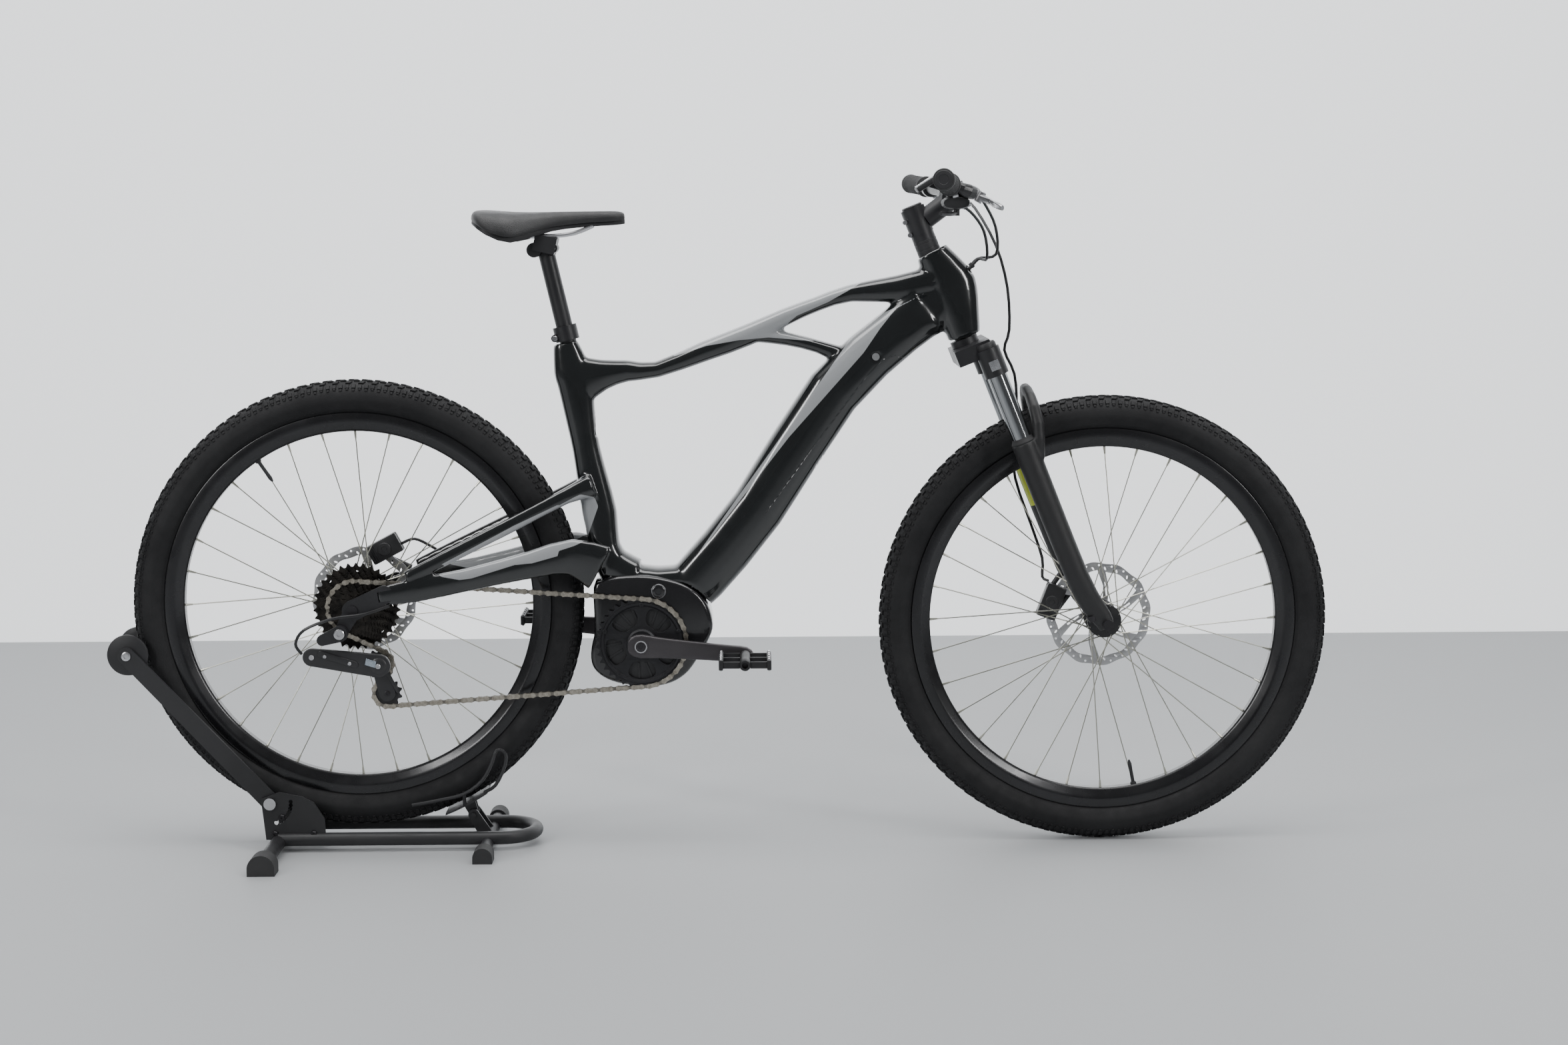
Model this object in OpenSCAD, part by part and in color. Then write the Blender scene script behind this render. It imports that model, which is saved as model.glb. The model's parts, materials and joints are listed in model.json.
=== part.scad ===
// Hardtail bicycle with a motor at its cranks, held by the rear wheel in a folding floor stand.
// +X points to the front wheel, +Y to the rider's left, +Z up. The origin is on the floor,
// under the middle of the whole object.

/* [Wheels] */
// Distance between the two wheel axles
wheelbase = 1231; // [1150:1:1300]
// Tyre outer radius
tyre_r = 372; // [355:1:380]
// Tyre section width
tyre_w = 60; // [48:1:64]
// Radius of the rim where the tyre's beads sit
bead_r = 311; // [300:1:312]
// Rim outer width
rim_w = 35; // [28:1:40]
// Spokes in each wheel
spoke_count = 32; // [24:8:40]
// Spoke diameter
spoke_d = 1.9; // [1.6:0.1:2.2]
// Front hub width between the fork ends
front_hub_w = 110; // [106:1:112]
// Rear hub width between the frame ends
rear_hub_w = 148; // [144:1:150]
// Brake rotor radius
rotor_r = 88; // [80:1:90]

/* [Frame] */
// Rear axle to crank axle along the ground
crank_x = 468; // [455:1:480]
// Crank axle below the rear axle
crank_drop = 61; // [50:1:70]
// Seat tube angle from the ground
seat_angle = 77; // [75:0.5:78]
// Steering axis angle from the ground
head_angle = 68.3; // [66:0.1:70]
// Front axle ahead of the steering axis
fork_offset = 44; // [40:1:51]
// Fork crown above the front axle, along the steering axis
fork_len = 512; // [500:1:530]
// Head tube length
head_len = 152; // [140:1:165]
// Down tube depth, seen from the side
down_h = 90; // [80:1:96]
// Down tube width
down_w = 76; // [66:1:84]
// Top tube width
top_w = 46; // [40:1:52]
// Seatpost diameter
post_d = 27.2; // [25.4:0.2:30.9]
// Seatpost showing above its clamp
post_out = 135; // [90:1:170]
// Saddle length
saddle_l = 250; // [235:1:270]
// Saddle width at the back
saddle_w = 145; // [130:1:160]

/* [Drive] */
// Crank arm length
crank_l = 170; // [165:1:175]
// How far the front crank arm dips below level, in degrees
crank_dip = 5; // [0:1:20]
// Chainring teeth
ring_teeth = 36; // [32:1:38]
// Teeth on the sprocket in use
cog_teeth = 22; // [18:1:24]
// Pedal width along its axle
pedal_w = 94; // [85:1:105]

/* [Cockpit] */
// Handlebar width, end to end
bar_w = 760; // [700:1:800]
// Grip diameter
grip_d = 32; // [29:1:34]
// Handlebar clamp diameter
clamp_d = 31.8; // [25.4:0.1:35]
// Stem length
stem_l = 70; // [50:1:90]

/* [Stand] */
// Height that the stand lifts the rear wheel by
lift = 33; // [28:1:45]
// Base tube diameter
base_d = 22; // [18:1:25]
// Rear cross bar length between its feet
rear_bar_l = 400; // [340:1:460]
// Front cross bar length between its feet
front_bar_l = 270; // [220:1:320]
// Holding arm length from its pivot to the rollers
arm_l = 337; // [325:1:345]
// Roller flange radius
flange_r = 34; // [28:1:36]

/* [Hidden] */
$fn = 72;

// Clearances
fit = 0.3;       // a shaft that turns or slides in its bore
seat_fit = 0.06; // a part pressed on its seat
gap = 0.6;       // between bodies that move past each other

// Main points. Everything hangs on the rear axle, the crank axle and the front axle.
roller_gap = 1.5;
roller_hub_r = 10;
roller_up = [-376, -77];                     // roller axis from the rear axle
roller_dir = roller_up / norm(roller_up);
roller_dist = tyre_r + roller_hub_r + roller_gap;
back_reach = -roller_dir[0] * roller_dist + flange_r;
front_reach = wheelbase + tyre_r;
rear_x = -(front_reach - back_reach) / 2;
rear_z = tyre_r + lift;
front_x = rear_x + wheelbase;
front_z = tyre_r;
bb_x = rear_x + crank_x;
bb_z = rear_z - crank_drop;

// Directions along the seat tube and the steering axis, and square to them, forwards
seat_up = [-cos(seat_angle), 0, sin(seat_angle)];
seat_fwd = [sin(seat_angle), 0, cos(seat_angle)];
head_up = [-cos(head_angle), 0, sin(head_angle)];
head_fwd = [sin(head_angle), 0, cos(head_angle)];
rear_axle_p = [rear_x, 0, rear_z];
front_axle_p = [front_x, 0, front_z];
bb_p = [bb_x, 0, bb_z];
steer_foot = front_axle_p - fork_offset * head_fwd;
crown_p = steer_foot + fork_len * head_up;

// A point given forwards and up from a main point
function R(x, z, y = 0) = rear_axle_p + [x, y, z];
function B(x, z, y = 0) = bb_p + [x, y, z];
function S(f, u, y = 0) = bb_p + f * seat_fwd + u * seat_up + [0, y, 0];
function H(f, u, y = 0) = steer_foot + f * head_fwd + u * head_up + [0, y, 0];
function sec(p, w, h) = [p[0], p[1], p[2], w, h];

// Smooth routes and lofted solids
function spline(a, b, c, d, t) =
  0.5 * (2 * b + (c - a) * t + (2 * a - 5 * b + 4 * c - d) * t * t
  + (3 * b - a - 3 * c + d) * t * t * t);
function smooth(s, n) = [for (i = [0 : len(s) - 2]) for (k = [0 : n - 1])
  spline(s[max(i - 1, 0)], s[i], s[i + 1], s[min(i + 2, len(s) - 1)], k / n), s[len(s) - 1]];
function xyz(v) = [v[0], v[1], v[2]];
function unit(v) = v / norm(v);
function bulge(c, e) = sign(c) * pow(abs(c), e);

module loft(s, steps = 2, sides = 24, side = [0, 1, 0], e = 0.8) {
  q = smooth(s, steps);
  n = len(q);
  points = [for (i = [0 : n - 1])
    let(t = unit(xyz(q[min(i + 1, n - 1)]) - xyz(q[max(i - 1, 0)])),
        a = unit(side - (side * t) * t), b = cross(t, a))
    for (k = [0 : sides - 1])
      xyz(q[i]) + a * q[i][3] / 2 * bulge(cos(360 * k / sides), e)
      + b * q[i][4] / 2 * bulge(sin(360 * k / sides), e)];
  faces = concat([[for (k = [0 : sides - 1]) k]],
    [[for (k = [sides - 1 : -1 : 0]) (n - 1) * sides + k]],
    [for (i = [0 : n - 2]) for (k = [0 : sides - 1]) let(m = (k + 1) % sides)
      [i * sides + k, (i + 1) * sides + k, (i + 1) * sides + m, i * sides + m]]);
  polyhedron(points, faces, convexity = 8);
}

// A hose through hand-set points
module hose(route, d, steps = 4, sides = 8, side = [0.3, 1, 0.2])
  loft([for (p = route) sec(p, d, d)], steps, sides, side, 1);

// A round bar from p to q
module bar(p, q, d) {
  v = q - p;
  translate(p)
    rotate([0, acos(v[2] / norm(v)), atan2(v[1], v[0])])
      cylinder(d = d, h = norm(v));
}

// A cylinder across the bicycle, from y0 to y1, about the axis through p
module across(p, y0, y1, r)
  translate([p[0], y1, p[2]]) rotate([90, 0, 0]) cylinder(r = r, h = y1 - y0);

// A flat plate in the side view, from y0 to y1
module side_plate(y0, y1)
  translate([0, y1, 0]) rotate([90, 0, 0]) linear_extrude(y1 - y0) children();

// A turned ring about an axle through p: its profile is drawn as [radius, y]
module turned(p)
  translate(p) rotate([-90, 0, 0]) rotate_extrude() children();

// A straight strip with round ends, in the side view
module strip(p, q, wp, wq) {
  v = [q[0] - p[0], q[1] - p[1]];
  n = [-v[1], v[0]] / norm(v);
  translate(p) circle(d = wp);
  translate(q) circle(d = wq);
  polygon([p + n * wp / 2, q + n * wq / 2, q - n * wq / 2, p - n * wp / 2]);
}
function flat(p) = [p[0], p[2]];

// ---------------------------------------------------------------- wheels
tyre_wall = 3.5;
tyre_c = tyre_r - tyre_w / 2;
rim_in = bead_r - 24;
flange_y = 26;
hub_flange_r = 28;
axle_r = 6;
front_rotor_y = front_hub_w / 2 - 13;
rear_rotor_y = rear_hub_w / 2 - 16;
rotor_t = 1.8;

module tyre(p) {
  turned(p) difference() {
    translate([tyre_c, 0]) circle(d = tyre_w);
    translate([tyre_c, 0]) circle(d = tyre_w - 2 * tyre_wall);
    translate([bead_r - 50, -tyre_w]) square([52, 2 * tyre_w]);
    translate([bead_r - 10, -rim_w / 2 + 8]) square([24, rim_w - 16]);
    for (m = [0, 1]) mirror([0, m])
      translate([bead_r - 10, rim_w / 2 - 3.5]) square([17.3, 20]);
  }
}
module rim(p) {
  w = rim_w / 2;
  turned(p) difference() {
    polygon([[rim_in, -9], [rim_in, 9], [bead_r - 10, w], [bead_r + 7, w], [bead_r + 7, w - 3],
      [bead_r, w - 3.4], [bead_r - 3, 6], [bead_r - 3, -6], [bead_r, 3.4 - w],
      [bead_r + 7, 3 - w], [bead_r + 7, -w], [bead_r - 10, -w]]);
    polygon([[rim_in + 2, -7], [rim_in + 2, 7], [bead_r - 9, w - 3], [bead_r - 6, w - 4],
      [bead_r - 6, 4 - w], [bead_r - 9, 3 - w]]);
  }
}
module spokes(p, y_mid) {
  step = 720 / spoke_count;
  lean = 66;                      // hub end ahead of the rim end, for three crossings
  for (s = [-1, 1]) for (dir = [-1, 1]) for (k = [0 : spoke_count / 4 - 1]) {
    rim_a = step * (2 * k) + (s > 0 ? step / 2 : 0) + (dir > 0 ? step : 0);
    hub_a = rim_a + dir * lean;
    bar(p + [cos(hub_a) * (hub_flange_r - 3), y_mid + s * flange_y + dir * 1.7,
             sin(hub_a) * (hub_flange_r - 3)],
        p + [cos(rim_a) * (rim_in + 1), s * 3, sin(rim_a) * (rim_in + 1)], spoke_d);
  }
}
module hub(p, y0, y1, y_mid, rotor_y) {
  turned(p) polygon([[axle_r + fit, y0], [11, y0], [11, y0 + 5], [13, y_mid - flange_y - 6],
    [hub_flange_r, y_mid - flange_y - 2.6], [hub_flange_r, y_mid - flange_y + 2.6],
    [14, y_mid - flange_y + 6], [13, y_mid], [14, y_mid + flange_y - 6],
    [hub_flange_r, y_mid + flange_y - 2.6], [hub_flange_r, y_mid + flange_y + 2.6],
    [20, rotor_y - rotor_t / 2], [14, rotor_y - rotor_t / 2], [14, y1 - 3], [11, y1 - 3],
    [11, y1], [axle_r + fit, y1]]);
}
module rotor(p, y) {
  arm_step = 60;
  turned(p) {
    translate([rotor_r - 15, y - rotor_t / 2]) square([15, rotor_t]);
    translate([14 + seat_fit, y - rotor_t / 2]) square([13 - seat_fit, rotor_t]);
  }
  for (a = [0 : arm_step : 359]) side_plate(y - rotor_t / 2, y + rotor_t / 2)
    translate(flat(p)) polygon([[25 * cos(a - 7), 25 * sin(a - 7)],
      [(rotor_r - 12) * cos(a + 25), (rotor_r - 12) * sin(a + 25)],
      [(rotor_r - 12) * cos(a + 31), (rotor_r - 12) * sin(a + 31)],
      [25 * cos(a + 12), 25 * sin(a + 12)]]);
}
module front_tyre() color("#1c1d1f") tyre(front_axle_p);
module front_rim() color("#101012") rim(front_axle_p);
module front_spokes() color("#c9c6b8") spokes(front_axle_p, -2);
module front_hub() color("#18181a")
  hub(front_axle_p, -front_hub_w / 2 + gap, front_hub_w / 2 - gap, -2, front_rotor_y);
module front_rotor() color("#b9bbbd") rotor(front_axle_p, front_rotor_y);
module rear_tyre() color("#1c1d1f") tyre(rear_axle_p);
module rear_rim() color("#101012") rim(rear_axle_p);
module rear_spokes() color("#c9c6b8") spokes(rear_axle_p, 8);
module rear_hub() color("#18181a")
  hub(rear_axle_p, cassette_y1 + gap, rear_hub_w / 2 - gap, 8, rear_rotor_y);
module rear_rotor() color("#b9bbbd") rotor(rear_axle_p, rear_rotor_y);

// ---------------------------------------------------------------- drive
pitch = 12.7;
chain_y = -50;
function pitch_r(teeth) = pitch / 2 / sin(180 / teeth);
ring_r = pitch_r(ring_teeth);
cog_r = pitch_r(cog_teeth);
pulley_r = pitch_r(11);
cog_step = 4;
cog_t = 1.6;
cog_sizes = [34, 30, 28, 26, 24, 22, 20, 18, 15, 11];
cog_in_use = 5;
cassette_y1 = chain_y + cog_step * cog_in_use + 4;
cassette_y0 = chain_y - cog_step * 4 - 3;
pulley_up = R(36, -93, chain_y);
pulley_low = R(50, -141, chain_y);

function tooth_ring(teeth, r, up, down) = [for (i = [0 : teeth - 1]) for (k = [0 : 3])
  let(a = 360 / teeth * (i + [0.06, 0.4, 0.6, 0.94][k]), q = r + [-down, up, up, -down][k])
  [q * cos(a), q * sin(a)]];

module cassette() color("#2a2b2d") {
  turned(rear_axle_p) difference() {
    union() {
      translate([axle_r + fit, cassette_y0 + 1])
        square([16, cassette_y1 - cassette_y0 - 1 - gap]);
      for (i = [0 : 9])
        translate([10, chain_y + (cog_in_use - i) * cog_step - cog_t / 2])
          square([(i == cog_in_use ? cog_r : pitch_r(cog_sizes[i])) - 8, cog_t]);
    }
    translate([0, cassette_y0 - 5]) square([axle_r + fit, 60]);
  }
}
module crank_arm(a, y0, y1) {
  end = bb_p + crank_l * [cos(a), 0, -sin(a)];
  side_plate(y0, y1) strip(flat(bb_p), flat(end), 40, 30);
}
function pedal_p(side) = bb_p + side * crank_l * [cos(crank_dip), 0, -sin(crank_dip)];
arm_y = 75;
arm_t = 14;
spindle_r = 12;
pedal_axle_r = 5;
pedal_y = arm_y + arm_t;
module crankset() color("#3c3b3f") difference() {
  union() {
    crank_arm(crank_dip, -arm_y - arm_t, -arm_y);
    crank_arm(crank_dip + 180, arm_y, arm_y + arm_t);
    across(bb_p, -arm_y - arm_t - 2, arm_y + arm_t + 2, spindle_r);
    for (s = [1, -1]) {
      y = s * -pedal_y;
      across(pedal_p(s), min(y, y - s * (pedal_w - 6)), max(y, y - s * (pedal_w - 6)),
        pedal_axle_r);
    }
  }
}
module chainring() color("#2e2f31") {
  side_plate(chain_y - 1, chain_y + 1) translate(flat(bb_p)) difference() {
    polygon(tooth_ring(ring_teeth, ring_r, 3, 3));
    circle(r = spindle_r);
    for (a = [20 : 72 : 308]) rotate(a) strip([46, -13], [46, 13], 24, 24);
  }
  difference() {
    across(bb_p, chain_y - 10, chain_y - 1, 24);
    across(bb_p, chain_y - 11, chain_y, spindle_r);
  }
}
// Chain: two bands of link plates about the teeth. Route angles are measured from +X.
function arc_pts(c, r, a0, a1, n) = [for (i = [0 : n]) let(a = a0 + (a1 - a0) * i / n)
  [c[0] + r * cos(a), c[1] + r * sin(a)]];
function tangent_a(c1, r1, c2, r2, side) =
  let(d = c2 - c1) atan2(d[1], d[0]) + side * acos((r1 - r2) / norm(d));
function cross_a(c1, r1, c2, r2, side) =
  let(d = c2 - c1) atan2(d[1], d[0]) + side * acos((r1 + r2) / norm(d));
function chain_route() =
  let(c1 = flat(bb_p), c2 = flat(rear_axle_p), p1 = flat(pulley_up), p2 = flat(pulley_low),
      top = tangent_a(c1, ring_r, c2, cog_r, -1), out = cross_a(c2, cog_r, p1, pulley_r, -1),
      mid = cross_a(p1, pulley_r, p2, pulley_r, 1), low = tangent_a(p2, pulley_r, c1, ring_r, -1))
  concat(arc_pts(c1, ring_r, low, top, 24),
    arc_pts(c2, cog_r, top, out + 360, 20),
    arc_pts(p1, pulley_r, out + 180, mid, 10),
    arc_pts(p2, pulley_r, mid + 180, low + 360, 14));
function offset_route(p, w) = let(n = len(p)) [for (i = [0 : n - 1])
  let(t = unit(p[(i + 1) % n] - p[(i + n - 1) % n])) p[i] + w * [-t[1], t[0]]];
module chain() color("#8d8577") {
  r = chain_route();
  for (y = [chain_y - 2.4, chain_y + 1.4]) side_plate(y, y + 1)
    difference() {
      polygon(offset_route(r, -3.8));
      polygon(offset_route(r, 3.8));
    }
}

// ---------------------------------------------------------------- derailleur
knuckle_p = R(-20, -36, -62);
cage_pivot = pulley_up + [4, 0, 2];
module derailleur_arm() color("#1d1e20") {
  side_plate(-80, -64) strip(flat(R(-68, -76)), flat(cage_pivot), 24, 34);
  across(cage_pivot, -64, -57.4, 14);
}
module derailleur_cage() color("#232426") {
  for (y = [-56.8, -45]) side_plate(y, y + 2)
    strip(flat(pulley_up), flat(pulley_low), 24, 26);
  across(pulley_up, -56.8, -43, 3);
  across(pulley_low, -56.8, -43, 3);
}
module pulley(p) difference() {
  side_plate(chain_y - 1, chain_y + 1) translate(flat(p)) difference() {
    polygon(tooth_ring(11, pulley_r, 1.5, 3));
    circle(r = 3 + fit);
  }
}
module upper_pulley() color("#151517") pulley(pulley_up);
module lower_pulley() color("#151517") pulley(pulley_low);

// ---------------------------------------------------------------- pedals
pedal_t = 20;
pedal_len = 84;
module pedal(side) {
  y = -side * (pedal_y + 2);
  p = pedal_p(side);
  difference() {
    union() {
      across(p, min(y, y - side * pedal_w), max(y, y - side * pedal_w), 9);
      for (e = [0.05, 0.9]) translate([p[0] - pedal_len / 2, y - side * pedal_w * e - 2,
        p[2] - pedal_t / 2]) cube([pedal_len, 4, pedal_t]);
      for (x = [-1, 1]) translate([p[0] + x * (pedal_len / 2 - 3) - 3,
        min(y, y - side * pedal_w * 0.9), p[2] - pedal_t / 2]) cube([6, pedal_w * 0.9, pedal_t]);
      translate([p[0] - pedal_len / 2, y - side * pedal_w * 0.48 - 6, p[2] - 4])
        cube([pedal_len, 12, 8]);
    }
    across(p, -300, 300, pedal_axle_r + fit);
  }
}
module pedal_right() color("#161618") pedal(1);
module pedal_left() color("#161618") pedal(-1);

// ---------------------------------------------------------------- frame
// Each tube is a loft of [route point, width across, depth] sections. Where two tubes are
// welded, the later one stops at the skin of the earlier one.
post_r = post_d / 2;
clamp_u = 530;
head_top_u = fork_len + 8 + head_len;
head_bot_u = fork_len + 8;
bearing_h = 9;                // depth of each headset bearing seat
stay_y = rear_hub_w / 2;

// Head tube section at a height up the steering axis, from its back face to its nose
function head_sec(u, back, nose, w) = sec(H((nose + back) / 2, u), w, nose - back);
module head_shell() loft([head_sec(head_bot_u, -25, 29, 56),
  head_sec(head_bot_u + head_len * 0.26, -26, 42, 58),
  head_sec(head_bot_u + head_len * 0.5, -26, 53, 58),
  head_sec(head_bot_u + head_len * 0.64, -26, 52, 56),
  head_sec(head_top_u, -24, 28, 52)], 2, 32);
module head_tube() color("#0d0d0f") difference() {
  head_shell();
  bar(H(0, head_bot_u + bearing_h), H(0, head_top_u - bearing_h), 40);
  bar(H(0, head_bot_u - 5), H(0, head_top_u + 5), 2 * (steerer_r + fit));
  bar(H(0, head_top_u), H(0, head_top_u + 30), 120);
  bar(H(0, head_bot_u - 30), H(0, head_bot_u), 120);
  for (y = [-port_y, port_y])
    bar(nose_in + [24, y, 26], nose_in + [-8, y, -12], cockpit_hose_d + 5);
}
module seat_shell() loft([sec(S(-8, clamp_u - 24), 36, 40), sec(S(-8, 462), 42, 60),
  sec(S(-8, 438), 44, 59), sec(S(-13, 380), 44, 50), sec(S(-16, 330), 44, 46),
  sec(S(-18, 276), 46, 52), sec(S(-20, 220), 50, 58), sec(S(-24, 165), 58, 50),
  sec(S(-18, 130), 66, 62), sec(S(10, 104), 70, 62)], 2, 28);
post_in = 110;                // seatpost length inside the seat tube
seat_drop = 70;               // how far the seatpost can be pushed down
module post_bore()
  bar(S(-3, clamp_u - post_in - seat_drop - 5), S(-3, clamp_u + 10), post_d + 2 * fit);
module seat_tube() color("#0d0d0f") difference() {
  seat_shell();
  post_bore();
}
down_line = [sec(S(84, 58), down_w, down_h - 8), sec(S(118, 78), down_w, down_h),
  sec(S(236, 168), down_w, down_h), sec(S(400, 326), down_w, down_h + 2)];
module down_shell() loft(concat(down_line, [sec(H(-92, 570), down_w - 6, 84),
  sec(H(-40, 586), down_w - 16, 92)]), 2, 28, e = 0.7);
module down_bay() loft([for (s = down_line) s + [0, 0, 0, -7, -7]], 2, 24, e = 0.7);
module down_tube() color("#0d0d0f") difference() {
  down_shell();
  head_shell();
  motor_block(0.02);
  down_bay();
  across(button_p, button_y - 10, button_y + 3.5, button_r + 0.3);
}
module battery_pack() color("#2b2d31") intersection() {
  loft([for (s = down_line) s + [0, 0, 0, -11, -11]], 2, 20, e = 0.7);
  bar(S(130, 88), S(396, 322), 140);
}
module top_tube() color("#0d0d0f") difference() {
  union() {
    loft([sec(S(2, 440), 40, 84), sec(S(42, 440), top_w - 6, 50), sec(S(80, 437), top_w - 4, 36),
      sec(S(128, 428), top_w, 27), sec(S(210, 439), top_w, 34), sec(S(287, 449), top_w, 36),
      sec(H(-255, 661), top_w, 29), sec(H(-201, 661), top_w, 25), sec(H(-145, 657), top_w, 29),
      sec(H(-70, 634), top_w + 4, 46), sec(H(-15, 624), top_w + 4, 52)], 2, 24);
    loft([sec(S(300, 446), top_w - 4, 26), sec(S(346, 428), top_w - 6, 23),
      sec(H(-226, 596), top_w - 6, 22), sec(H(-196, 568), top_w - 4, 30)], 2, 20);
  }
  seat_shell();
  head_shell();
  down_shell();
}
function stay(m, x, z, y) = R(x, z, m * y);
module chainstay(m) loft([sec(stay(m, 42, 22, stay_y + 3), 9, 30),
  sec(stay(m, 100, 32, stay_y), 14, 40), sec(stay(m, 190, 49, 67), 20, 38),
  sec(stay(m, 290, 71, 56), 24, 46), sec(stay(m, 352, 82, 47), 22, 60),
  sec(stay(m, 400, 62, 40), 22, 80)], 2, 20);
module chainstays() color("#0d0d0f") difference() {
  for (m = [-1, 1]) chainstay(m);
  seat_shell();
  motor_block(0.02);
}
module seatstays() color("#0d0d0f") difference() {
  union() {
    for (m = [-1, 1]) loft([sec(stay(m, 88, 53, stay_y), 14, 22),
      sec(stay(m, 160, 88, 66), 16, 24), sec(stay(m, 262, 138, 50), 18, 25),
      sec(stay(m, 345, 180, 36), 20, 26), sec(stay(m, 388, 196, 22), 24, 40)], 2, 20);
    loft([sec(R(372, 190, -34), 24, 24), sec(R(374, 190, 34), 24, 24)], 1, 16, [1, 0, 0]);
  }
  for (m = [-1, 1]) chainstay(m);
  seat_shell();
}
// Fork ends with the gear hanger on the right
end_t = 7;
module frame_end(m) {
  y0 = m > 0 ? stay_y : -stay_y - end_t;
  side_plate(y0, y0 + end_t) {
    strip(flat(rear_axle_p), flat(R(52, 26)), 34, 30);
    if (m < 0) strip(flat(rear_axle_p), flat(knuckle_p), 28, 22);
  }
}
module dropouts() color("#1a1a1d") {
  difference() {
    for (m = [-1, 1]) frame_end(m);
    across(rear_axle_p, -100, 100, axle_r);
    for (m = [-1, 1]) chainstay(m);
  }
  side_plate(-stay_y - end_t - 12, -stay_y - end_t)
    strip(flat(knuckle_p), flat(R(-48, -46)), 26, 18);
}
module rear_axle() color("#3a3b3d") {
  across(rear_axle_p, -stay_y - end_t - 3, stay_y + end_t, axle_r);
  across(rear_axle_p, -stay_y - end_t - 3, -stay_y - end_t, 9);
  across(rear_axle_p, stay_y + end_t, stay_y + end_t + 5, 9);
}
// Motor housing between the stays, with a tunnel for the crank spindle
motor_w = 84;
module motor_block(grow = 0) side_plate(-motor_w / 2 - grow, motor_w / 2 + grow)
  polygon([for (p = [B(-79, 90), B(-78, 22), B(-86, -26), B(-80, -46), B(-58, -63), B(-33, -72),
    B(30, -74), B(72, -52), B(104, -6), B(118, 20), B(112, 60), B(92, 84), B(62, 100),
    B(-20, 112), B(-60, 104)]) flat(p)]);
module motor_unit() color("#0c0c0e") difference() {
  union() {
    motor_block();
    across(bb_p, motor_w / 2, motor_w / 2 + 20, 30);
  }
  seat_shell();
  across(bb_p, -100, 100, spindle_r + 0.1);
}
button_p = S(480, 368);
button_r = 6;
button_y = -down_w / 2 + 1;
module power_button() color("#85878a")
  across(button_p, button_y - 3, button_y + 1, button_r);
module seat_clamp() color("#141416") difference() {
  union() {
    bar(S(-3, clamp_u - 22), S(-3, clamp_u + 2), post_d + 12);
    bar(S(-22, clamp_u - 14, -15), S(-22, clamp_u - 14, 15), 12);
  }
  post_bore();
  seat_shell();
}
module rear_caliper() color("#1a1b1d") difference() {
  union() {
    translate(R(36, 84, rear_rotor_y)) rotate([0, -28, 0]) cube([56, 22, 34], center = true);
    bar(R(30, 72, rear_rotor_y + 9), R(78, 50, rear_rotor_y + 9), 10);
  }
  across(rear_axle_p, rear_rotor_y - 1.9, rear_rotor_y + 1.9, rotor_r + 4);
  for (m = [-1, 1]) chainstay(m);
}

// Hoses are held by the bicycle at both ends
rear_hose_d = 5;
rear_brake_route = [R(64, 92, 62), R(84, 98, 70), R(110, 84, 80), R(138, 66, 84), R(168, 54, 78)];
shift_route = [R(60, 8, -80), R(20, -4, -92), R(-30, -10, -98), R(-76, -28, -96),
  R(-92, -52, -88), R(-84, -70, -80)];
module rear_hoses() color("#17181a") {
  hose(rear_brake_route, rear_hose_d);
  hose(shift_route, rear_hose_d);
}

// ---------------------------------------------------------------- seat
post_top_u = clamp_u + post_out;
module seatpost() color("#141416") difference() {
  union() {
    bar(S(-3, clamp_u - post_in), S(-3, post_top_u), post_d);
    bar(S(-20, post_top_u - 2, -22), S(-20, post_top_u - 2, 22), 24);
    bar(S(10, post_top_u - 6, -22), S(10, post_top_u - 6, 22), 16);
    translate(S(-3, post_top_u - 2)) rotate([0, 90 - seat_angle, 0])
      translate([-18, -27, -8]) cube([36, 54, 27]);
  }
  for (m = [-1, 1]) hose(rail_route(m), rail_d + 0.1, 3, 10);
}
saddle_back = S(0, post_top_u) + [-120, 0, 0];
saddle_top = S(0, post_top_u)[2] + 62;
function sad(x, z, y = 0) = [saddle_back[0] + x, y, saddle_top + z];
rail_d = 7;
function rail_route(m) = [sad(44, -34, m * 40), sad(62, -46, m * 34), sad(84, -46, m * 25),
  sad(130, -46, m * 22), sad(165, -42, m * 20), sad(196, -30, m * 12)];
module seat_rails() color("#b9bbbe") for (m = [-1, 1]) hose(rail_route(m), rail_d, 3, 10);
module saddle() color("#18181a") loft([sec(sad(3, -12), saddle_w * 0.5, 10),
  sec(sad(14, -16), saddle_w * 0.84, 26), sec(sad(50, -20), saddle_w, 34),
  sec(sad(88, -17), saddle_w * 0.74, 30), sec(sad(130, -14), saddle_w * 0.4, 22),
  sec(sad(180, -14), 42, 18), sec(sad(saddle_l - 18, -14), 36, 18),
  sec(sad(saddle_l, -15), 18, 8)], 3, 24, e = 0.75);

// ---------------------------------------------------------------- fork and bars
leg_y = 66;
leg_f = 25;
stanchion_r = 16;
leg_r = 20;
leg_top_u = 330;
travel = 100;
stanchion_low_u = 200;        // bottom of each stanchion inside its lower leg
steerer_r = 14.3;
stem_u = 738;
steerer_top_u = 745;
crown_top_u = fork_len - 4;
crown_low_u = 448;
function leg(u, m) = H(leg_f, u, m * leg_y);

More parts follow.
